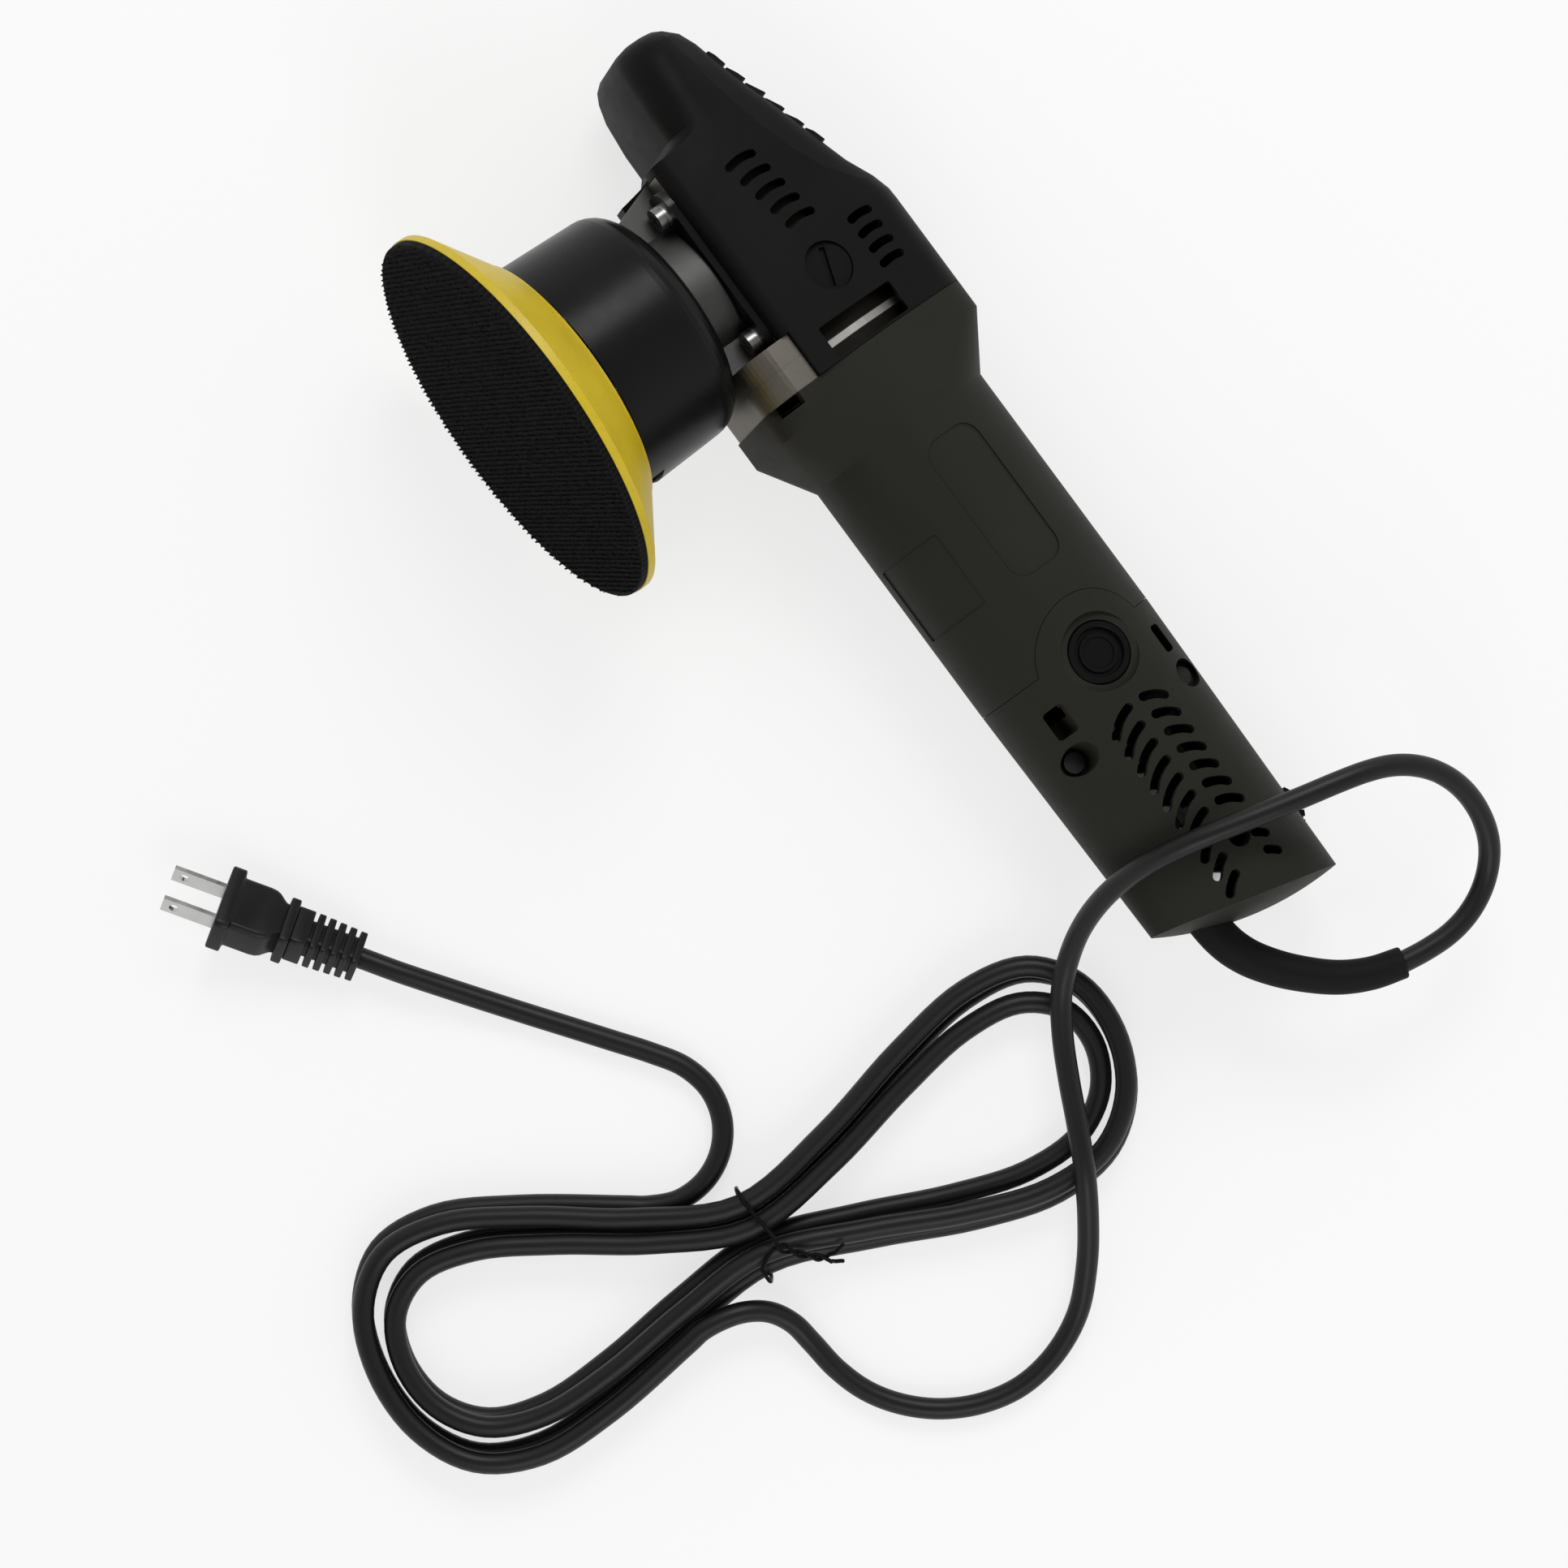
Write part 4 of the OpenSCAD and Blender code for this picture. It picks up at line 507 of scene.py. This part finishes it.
def skin(name, rings, sharp=35):
    """A closed mesh over rings of points, smooth apart from its edges."""
    n = len(rings[0])
    faces = [(i * n + k, i * n + (k + 1) % n, (i + 1) * n + (k + 1) % n, (i + 1) * n + k)
             for i in range(len(rings) - 1) for k in range(n)]
    faces += [tuple(range(n))[::-1], tuple(range((len(rings) - 1) * n, len(rings) * n))]
    mesh = bpy.data.meshes.new(name)
    mesh.from_pydata([p for ring in rings for p in ring], [], faces)
    return soften(mesh, sharp)


def soften(mesh, sharp):
    """Joins a mesh, turns its faces outward and smooths it, except over edges sharper than an angle."""
    shape = bmesh.new()
    shape.from_mesh(mesh)
    bmesh.ops.remove_doubles(shape, verts=shape.verts, dist=2e-6)
    bmesh.ops.recalc_face_normals(shape, faces=shape.faces)
    for face in shape.faces:
        face.smooth = True
    shape.to_mesh(mesh)
    shape.free()
    mesh.set_sharp_from_angle(angle=math.radians(sharp))
    return mesh


def tube_rings(frames, radii, sides):
    """Rings of points round the places of a line, with a radius for each."""
    return [[place + radius * (math.cos(a) * side + math.sin(a) * up)
             for a in (2 * math.pi * k / sides for k in range(sides))]
            for (place, way, side, up), radius in zip(frames, radii)]


# Cord sleeve: a taper with a rounded mouth, out of which the cord comes
SLEEVE_R, SLEEVE_TAPER, SLEEVE_SIDES = 6.5, 1.3, 36
SLEEVE_MOUTH = ((0.5, 5.05), (0.8, 4.7), (0.9, 4.2), (0.6, 3.7), (-1.5, 3.6))
sleeve_frames = list(frames_along([on_table(*p) for p in smooth(SLEEVE_ROUTE, 10)]))
last = len(sleeve_frames) - 1
sleeve_radii = [(SLEEVE_R - SLEEVE_TAPER * i / last) * MM for i in range(last + 1)]
end_place, end_way, end_side, end_up = sleeve_frames[last]
for on, radius in SLEEVE_MOUTH:
    sleeve_frames.append((end_place + end_way * MM * on, end_way, end_side, end_up))
    sleeve_radii.append(radius * MM)
sleeve_mesh = skin("sleeve_boot", tube_rings(sleeve_frames, sleeve_radii, SLEEVE_SIDES), 50)
sleeve_mesh.materials.append(soft_rubber("sleeve_rubber", tone(17, 17, 18), 0.62, 0.7, 0.03))
add_piece("sleeve_boot", sleeve_mesh, "cord_rubber", stands_for=["cord_sleeve"])

# Wire tie: a loop round the waist of the hank, its ends twisted together and splayed
TIE_R, TIE_SIDES = 0.68, 10
TIE_GAP, TIE_SIDE_GAP = 1.05, 1.6
TIE_HALF = HANK_PITCH * (HANK_TURNS / 2 - 0.5) + CORD_D / 2 + TIE_SIDE_GAP
TIE_LOW, TIE_HIGH = HANK_LIFT - TIE_GAP, HANK_LIFT + CORD_D + HANK_LAYER + TIE_GAP
TIE_STEPS, TIE_FROM, TIE_SWEEP, TIE_SHIFT = 96, 105, 330, 4
TIE_TAILS = ((5, -5, 1), (8, -8, 1.5), (11, -11, 1.4), (15, -14, 0.2), (18, -16, -1.4), (21, -17, -2.8),
             (24, -17, -4))
TIE_TWISTS, TIE_TWIST_END, TIE_SPLAY_FROM, TIE_SPLAY = 2.5, 0.8, 0.72, 14
TIE_OPEN, TIE_CLOSING, TIE_CLOSED = 2.2, 6, 0.75


def squarish(v):
    """A round wave made boxy."""
    return math.copysign(abs(v) ** 0.4, v)


tie_loop = []
for k in range(TIE_STEPS + 1):
    a = math.radians(TIE_FROM + TIE_SWEEP * k / TIE_STEPS)
    tie_loop.append(on_table(*hank_place(
        TIE_SHIFT * k / TIE_STEPS - TIE_SHIFT / 2, TIE_HALF * squarish(math.cos(a)),
        (TIE_LOW + TIE_HIGH + (TIE_HIGH - TIE_LOW) * squarish(math.sin(a))) / 2)))
tail_line = smooth([on_table(*hank_place(u, v, TIE_HIGH + z)) for u, v, z in TIE_TAILS], 8)
tails = {1: [], -1: []}
for k, (place, way, side, up) in enumerate(frames_along(tail_line)):
    s = k / (len(tail_line) - 1)
    spread = max(TIE_OPEN - TIE_CLOSING * s, TIE_CLOSED) + max(0, s - TIE_SPLAY_FROM) * TIE_SPLAY
    turn = 2 * math.pi * TIE_TWISTS * min(s, TIE_TWIST_END)
    for sign in tails:
        tails[sign].append(place + sign * spread * MM * (math.cos(turn) * side + math.sin(turn) * up))
tie_line = smooth(tails[-1][::-1] + tie_loop[2:-2] + tails[1], 2)
tie_rings = tube_rings(frames_along(tie_line), [TIE_R * MM] * len(tie_line), TIE_SIDES)
tie = add_piece("wire_tie", skin("wire_tie", tie_rings, 60), "black_plastic", stands_for=["twist_tie"])

# Plug: fins that bend with the cord, a collar, the body and its flange
PLUG = (Matrix.Translation(on_table(*PLUG_AT)) @ Matrix.Rotation(PLUG_TURN, 4, "Z")
        @ Matrix.Rotation(-PLUG_PITCH, 4, "Y") @ Matrix.Rotation(PLUG_ROLL, 4, "X") @ Matrix.Scale(MM, 4))


def rounded(w, h, r, steps=6):
    """Outline of a rectangle with round corners."""
    r = min(r, w / 2 - 0.05, h / 2 - 0.05)
    return [(sy * (w / 2 - r) + r * math.cos(a), sz * (h / 2 - r) + r * math.sin(a))
            for q, (sy, sz) in enumerate(((1, 1), (-1, 1), (-1, -1), (1, -1)))
            for a in (math.pi / 2 * (q + k / steps) for k in range(steps + 1))]


def slab(x0, x1, w, h, r, edge):
    """Stations of one block with softened edges."""
    return [(x0, w - 2 * edge, h - 2 * edge, r), (x0 + edge * 0.35, w - edge * 0.6, h - edge * 0.6, r),
            (x0 + edge, w, h, r), (x1 - edge, w, h, r), (x1 - edge * 0.35, w - edge * 0.6, h - edge * 0.6, r),
            (x1, w - 2 * edge, h - 2 * edge, r)]


# Stations from the cord to the pins: place along the plug, width, height and corner radius
FINS, FIN_PITCH, FIN_L, FIN_W, FIN_GROWTH, FIN_FLATNESS = 5, 3.6, 2.3, 13.6, 0.3, 0.8
FIN_ROOT = (10.4, 9, 2.2)
plug_stations = []
for i in range(FINS):
    start, wide = FIN_PITCH * i, FIN_W + FIN_GROWTH * i
    plug_stations += slab(start, start + FIN_L, wide, wide * FIN_FLATNESS, 1.2, 0.3)
    plug_stations += [(start + FIN_L + 0.1, *FIN_ROOT), (start + FIN_PITCH - 0.1, *FIN_ROOT)]
plug_stations += slab(18, 23.4, 15, 12, 1.4, 0.3) + slab(23.6, 26.8, 18.5, 13.5, 1.4, 0.4)
plug_stations += [(27, 14, 11.6, 2), (28, 14.4, 12, 2), (29.2, 16.4, 12.3, 2), (30.6, 19, 12.5, 2),
                  (32, 20.4, 12.6, 2), (34, 21, 12.6, 2), (42.6, 21, 12.6, 2), (43, 21.6, 13.2, 2)]
plug_stations += slab(43.2, PLUG_L, PLUG_W, PLUG_H, 2, 0.5)
plug_rings = [[PLUG @ Vector((x, y, z)) for y, z in rounded(w, h, r)] for x, w, h, r in plug_stations]
plug = add_piece("plug_moulding", skin("plug_moulding", plug_rings, 40), "cord_rubber", stands_for=["plug_body"])

# Hook pile on the plate, rows of small headed stems, in millimetres
STEM_GAP, STEM_HEIGHT = 0.95, 1.1
STEM_SIDES, STEM_TOP_R, STEM_FOOT_R = 4, 0.36, 0.17
PILE_FACE = -101.9
PILE_SEED = 7
pile_tree = bpy.data.node_groups.new("hook_pile", "GeometryNodeTree")
ports = {}
for label, kind in (("Radius", "Float"), ("Across", "Float"), ("Along", "Float"), ("Height", "Float"),
                    ("Seed", "Int"), ("Material", "Material")):
    ports[label] = pile_tree.interface.new_socket(label, in_out="INPUT", socket_type="NodeSocket" + kind)
pile_tree.interface.new_socket("Geometry", in_out="OUTPUT", socket_type="NodeSocketGeometry")
pile = Flow(pile_tree)
given = pile.node("NodeGroupInput").socket.node.outputs
radius, across, along, height, seed, cloth = (Flow(pile_tree, given[label]) for label in ports)
rows = pile.sum_of("ROUND", pile.sum_of("DIVIDE", radius * 2.0, across) + 1.0)
stems = pile.sum_of("DIVIDE", radius * 2.0, along) + 1.0
field = pile.node("GeometryNodeMeshGrid", {}, {"Size X": radius * 2.0, "Size Y": radius * 2.0,
                                               "Vertices X": rows, "Vertices Y": stems})
spot = pile.node("GeometryNodeInputPosition")
away = pile.node("ShaderNodeVectorMath", {"operation": "LENGTH"}, {0: spot}, out=1)
outside = pile.node("FunctionNodeCompare", {"operation": "GREATER_THAN"}, {0: away, 1: radius})
field = pile.node("GeometryNodeDeleteGeometry", {}, {"Geometry": field, "Selection": outside})
nudge = pile.node("FunctionNodeRandomValue", {"data_type": "FLOAT_VECTOR"},
                  {0: (-0.16, -0.16, -0.12), 1: (0.16, 0.16, 0.08), "Seed": seed})
field = pile.node("GeometryNodeSetPosition", {}, {"Geometry": field, "Offset": nudge})
stem = pile.node("GeometryNodeMeshCone", {}, {
    "Vertices": STEM_SIDES, "Radius Top": STEM_TOP_R, "Radius Bottom": STEM_FOOT_R, "Depth": height})
lean = pile.node("FunctionNodeRandomValue", {"data_type": "FLOAT_VECTOR"},
                 {0: (-0.3, -0.3, -1.5), 1: (0.3, 0.3, 1.5), "Seed": seed + 1.0})
laid = pile.node("GeometryNodeInstanceOnPoints", {}, {"Points": field, "Instance": stem, "Rotation": lean})
laid = pile.node("GeometryNodeRealizeInstances", {}, {"Geometry": laid})
laid = pile.node("GeometryNodeSetMaterial", {}, {"Geometry": laid, "Material": cloth})
pile.node("NodeGroupOutput", {}, {0: laid})


def grown(name, tree, sockets, values):
    """The plain mesh that a set of geometry nodes makes with the given values."""
    grower = bpy.data.objects.new(name, bpy.data.meshes.new(name))
    bpy.context.scene.collection.objects.link(grower)
    maker = grower.modifiers.new(name, "NODES")
    maker.node_group = tree
    for label, value in values.items():
        maker[sockets[label].identifier] = value
    ready = grower.evaluated_get(bpy.context.evaluated_depsgraph_get())
    mesh = bpy.data.meshes.new_from_object(ready)
    bpy.data.objects.remove(grower)
    return mesh


pile_mesh = grown("hook_pile", pile_tree, ports, {
    "Radius": PILE_R, "Across": PILE_PITCH, "Along": STEM_GAP, "Height": STEM_HEIGHT, "Seed": PILE_SEED,
    "Material": FINISHES["hook"]})
pile_mesh.transform(UPRIGHT @ Matrix.Translation((0, -PLATE_OFFSET, PILE_FACE)) @ Matrix.Rotation(math.pi, 4, "X")
                    @ Matrix.Rotation(-PILE_TURN, 4, "Z"))
add_piece("hook_pile", pile_mesh, "hook", body="plate")


def spots_on(mesh, gap):
    """Places spread evenly over a mesh, each with the direction of its face and the area it stands for."""
    mesh.calc_loop_triangles()
    for triangle in mesh.loop_triangles:
        a, b, c = (mesh.vertices[i].co for i in triangle.vertices)
        a, b, c = max(((a, b, c), (b, c, a), (c, a, b)), key=lambda t: (t[1] - t[0]).length)
        base = b - a
        if base.length < 1e-9:
            continue
        foot = min(max((c - a).dot(base) / base.length_squared, 1e-6), 1 - 1e-6)
        rise = c - a - base * foot
        across, up = math.ceil(base.length / gap), math.ceil(rise.length / gap)
        for i in range(across):
            t = (i + 0.5) / across
            share = t / foot if t < foot else (1 - t) / (1 - foot)
            for k in range(up):
                yield (a + base * t + rise * share * (k + 0.5) / up, triangle.normal,
                       base.length / across * rise.length * share / up)


def even_normals(mesh, reach, bend):
    """Shades a faceted mesh by the mean direction of what lies close by and bends less than an angle."""
    spots = list(spots_on(mesh, reach / 2))
    tree = KDTree(len(spots))
    for i, (place, way, area) in enumerate(spots):
        tree.insert(place, i)
    tree.balance()
    least = math.cos(math.radians(bend))
    normals = [None] * len(mesh.loops)
    for face in mesh.polygons:
        face.use_smooth = True
        for loop in face.loop_indices:
            corner = mesh.vertices[mesh.loops[loop].vertex_index].co
            mean = Vector()
            for place, i, distance in tree.find_range(corner, reach):
                if spots[i][1].dot(face.normal) > least:
                    mean += spots[i][1] * spots[i][2] * (1 - distance / reach)
            normals[loop] = mean.normalized() if mean.length > 0 else face.normal.copy()
    mesh.normals_split_custom_set(normals)
    return mesh


# Even shading over the moulded solids
SHADE_REACH = 5 * MM
for name, bend in (("head_cover_left", 30), ("head_cover_right", 30), ("grip_pad", 24), ("motor_housing", 30)):
    shaded = even_normals(nodes[name].data.copy(), SHADE_REACH, bend)
    add_piece(name + "_skin", shaded, slot_of[name], stands_for=[name])

# Brush caps: a rim, a deep ring and a raised middle, as radius and height over the face
BRUSH_X, CAP_FACE = 167.0, 30.0
CAP_SIDES = 64
CAP = ((0.4, -1.5), (4.9, -1.5), (5.1, -1.0), (6.3, -1.0), (6.5, -1.9), (7.9, -1.9), (8.1, -0.3), (8.5, 0),
       (9.8, 0), (10.1, -0.3), (10.2, -1), (10.2, -4), (0.4, -4))
cap_meshes = bmesh.new()
for side in (1, -1):
    turn = (UPRIGHT @ Matrix.Translation((BRUSH_X, -side * CAP_FACE, 0))
            @ Matrix.Rotation(side * math.pi / 2, 4, "X"))
    rings = [[turn @ Vector((r * math.cos(a), r * math.sin(a), h))
              for a in (2 * math.pi * k / CAP_SIDES for k in range(CAP_SIDES))] for r, h in CAP]
    cap_meshes.from_mesh(skin("cap", rings))
cap_mesh = bpy.data.meshes.new("cap_pair")
cap_meshes.to_mesh(cap_mesh)
cap_meshes.free()
add_piece("cap_pair", soften(cap_mesh, 35), "black_plastic", stands_for=["brush_caps"])

# Screws deep in the handle are painted dark as the shade of their deep seats, and those under the cover a little
# dull
nodes["rear_handle_screws"].data.materials[0] = turned_metal("screw_steel_in_painted_shade", tone(52, 52, 52), 0.45)
nodes["retainer_screws"].data.materials[0] = turned_metal("screw_steel", tone(128, 127, 126), 0.3)

# Floor: pale paper, lit for the camera except close under the tool, where its own shade shows
FLOOR_HALF, FLOOR_DROP = 6, 0.0004
PAPER_GLOW = 0.72
TOOL_MIDDLE, TOOL_HALF, TOOL_SIDE = 0.056, 0.097, 0.02
floor_mesh = bpy.data.meshes.new("floor")
floor_mesh.from_pydata([(x * FLOOR_HALF, y * FLOOR_HALF, 0) for x, y in ((-1, -1), (1, -1), (1, 1), (-1, 1))], [],
                       [(0, 1, 2, 3)])
floor = bpy.data.objects.new("floor", floor_mesh)
floor.location.z = -FLOOR_DROP
bpy.context.scene.collection.objects.link(floor)
paper = bpy.data.materials.new("paper")
paper.use_nodes = True
paper.node_tree.nodes.clear()
sheet = Flow(paper.node_tree)
rays = sheet.node("ShaderNodeLightPath")
shown = rays.other("Is Camera Ray") + rays.other("Is Glossy Ray") + rays.other("Is Transmission Ray")
shown = sheet.sum_of("MINIMUM", shown, 1.0)
plain = sheet.node("ShaderNodeBsdfDiffuse", {}, {"Color": (0.88, 0.88, 0.88, 1)})
lit = sheet.node("ShaderNodeEmission", {}, {"Color": (1, 1, 1, 1), "Strength": 1.0})
along_floor = sheet.node("ShaderNodeSeparateXYZ", {}, {0: sheet.node("ShaderNodeTexCoord", out=3)})
beside = sheet.sum_of("ABSOLUTE", along_floor.other(1) + BOX_Y * MM)
ahead = sheet.sum_of("ABSOLUTE", along_floor - TOOL_MIDDLE)
open_floor = sheet.sum_of("MAXIMUM", sheet.step(beside, TOOL_SIDE, 0.014), sheet.step(ahead, TOOL_HALF, 0.02))
blend = sheet.node("ShaderNodeMixShader", {}, {0: shown * PAPER_GLOW * open_floor, 1: plain, 2: lit})
sheet.node("ShaderNodeOutputMaterial", {}, {"Surface": blend})
floor_mesh.materials.append(paper)

# Studio air, brighter at the sides than overhead
SIDE_GLOW, OVERHEAD_LOSS = 0.9, 0.65
world = bpy.data.worlds.new("studio")
bpy.context.scene.world = world
world.use_nodes = True
world.node_tree.nodes.clear()
air = Flow(world.node_tree)
overhead = air.node("ShaderNodeSeparateXYZ", {}, {0: air.node("ShaderNodeTexCoord")}).other(2)
glow = air.node("ShaderNodeBackground", {}, {
    "Color": (1, 1, 1, 1), "Strength": SIDE_GLOW - overhead * overhead * OVERHEAD_LOSS})
air.node("ShaderNodeOutputWorld", {}, {"Surface": glow})


def lamp(name, place, aim, size, power):
    """A round soft lamp turned to a point."""
    data = bpy.data.lights.new(name, "AREA")
    data.shape, data.size, data.energy = "DISK", size, power
    made = bpy.data.objects.new(name, data)
    bpy.context.scene.collection.objects.link(made)
    made.location = place
    made.rotation_euler = (Vector(aim) - Vector(place)).to_track_quat("-Z", "Y").to_euler()


lamp("key_lamp", (-0.9, 0.9, 1.5), (0, 0, 0.03), 0.9, 14)
lamp("fill_lamp", (1.2, -0.6, 1.3), (0, 0, 0.03), 1.0, 7)

tuple(on_table(*LEAD_ROUTE[0]))
length_of(cord_line)
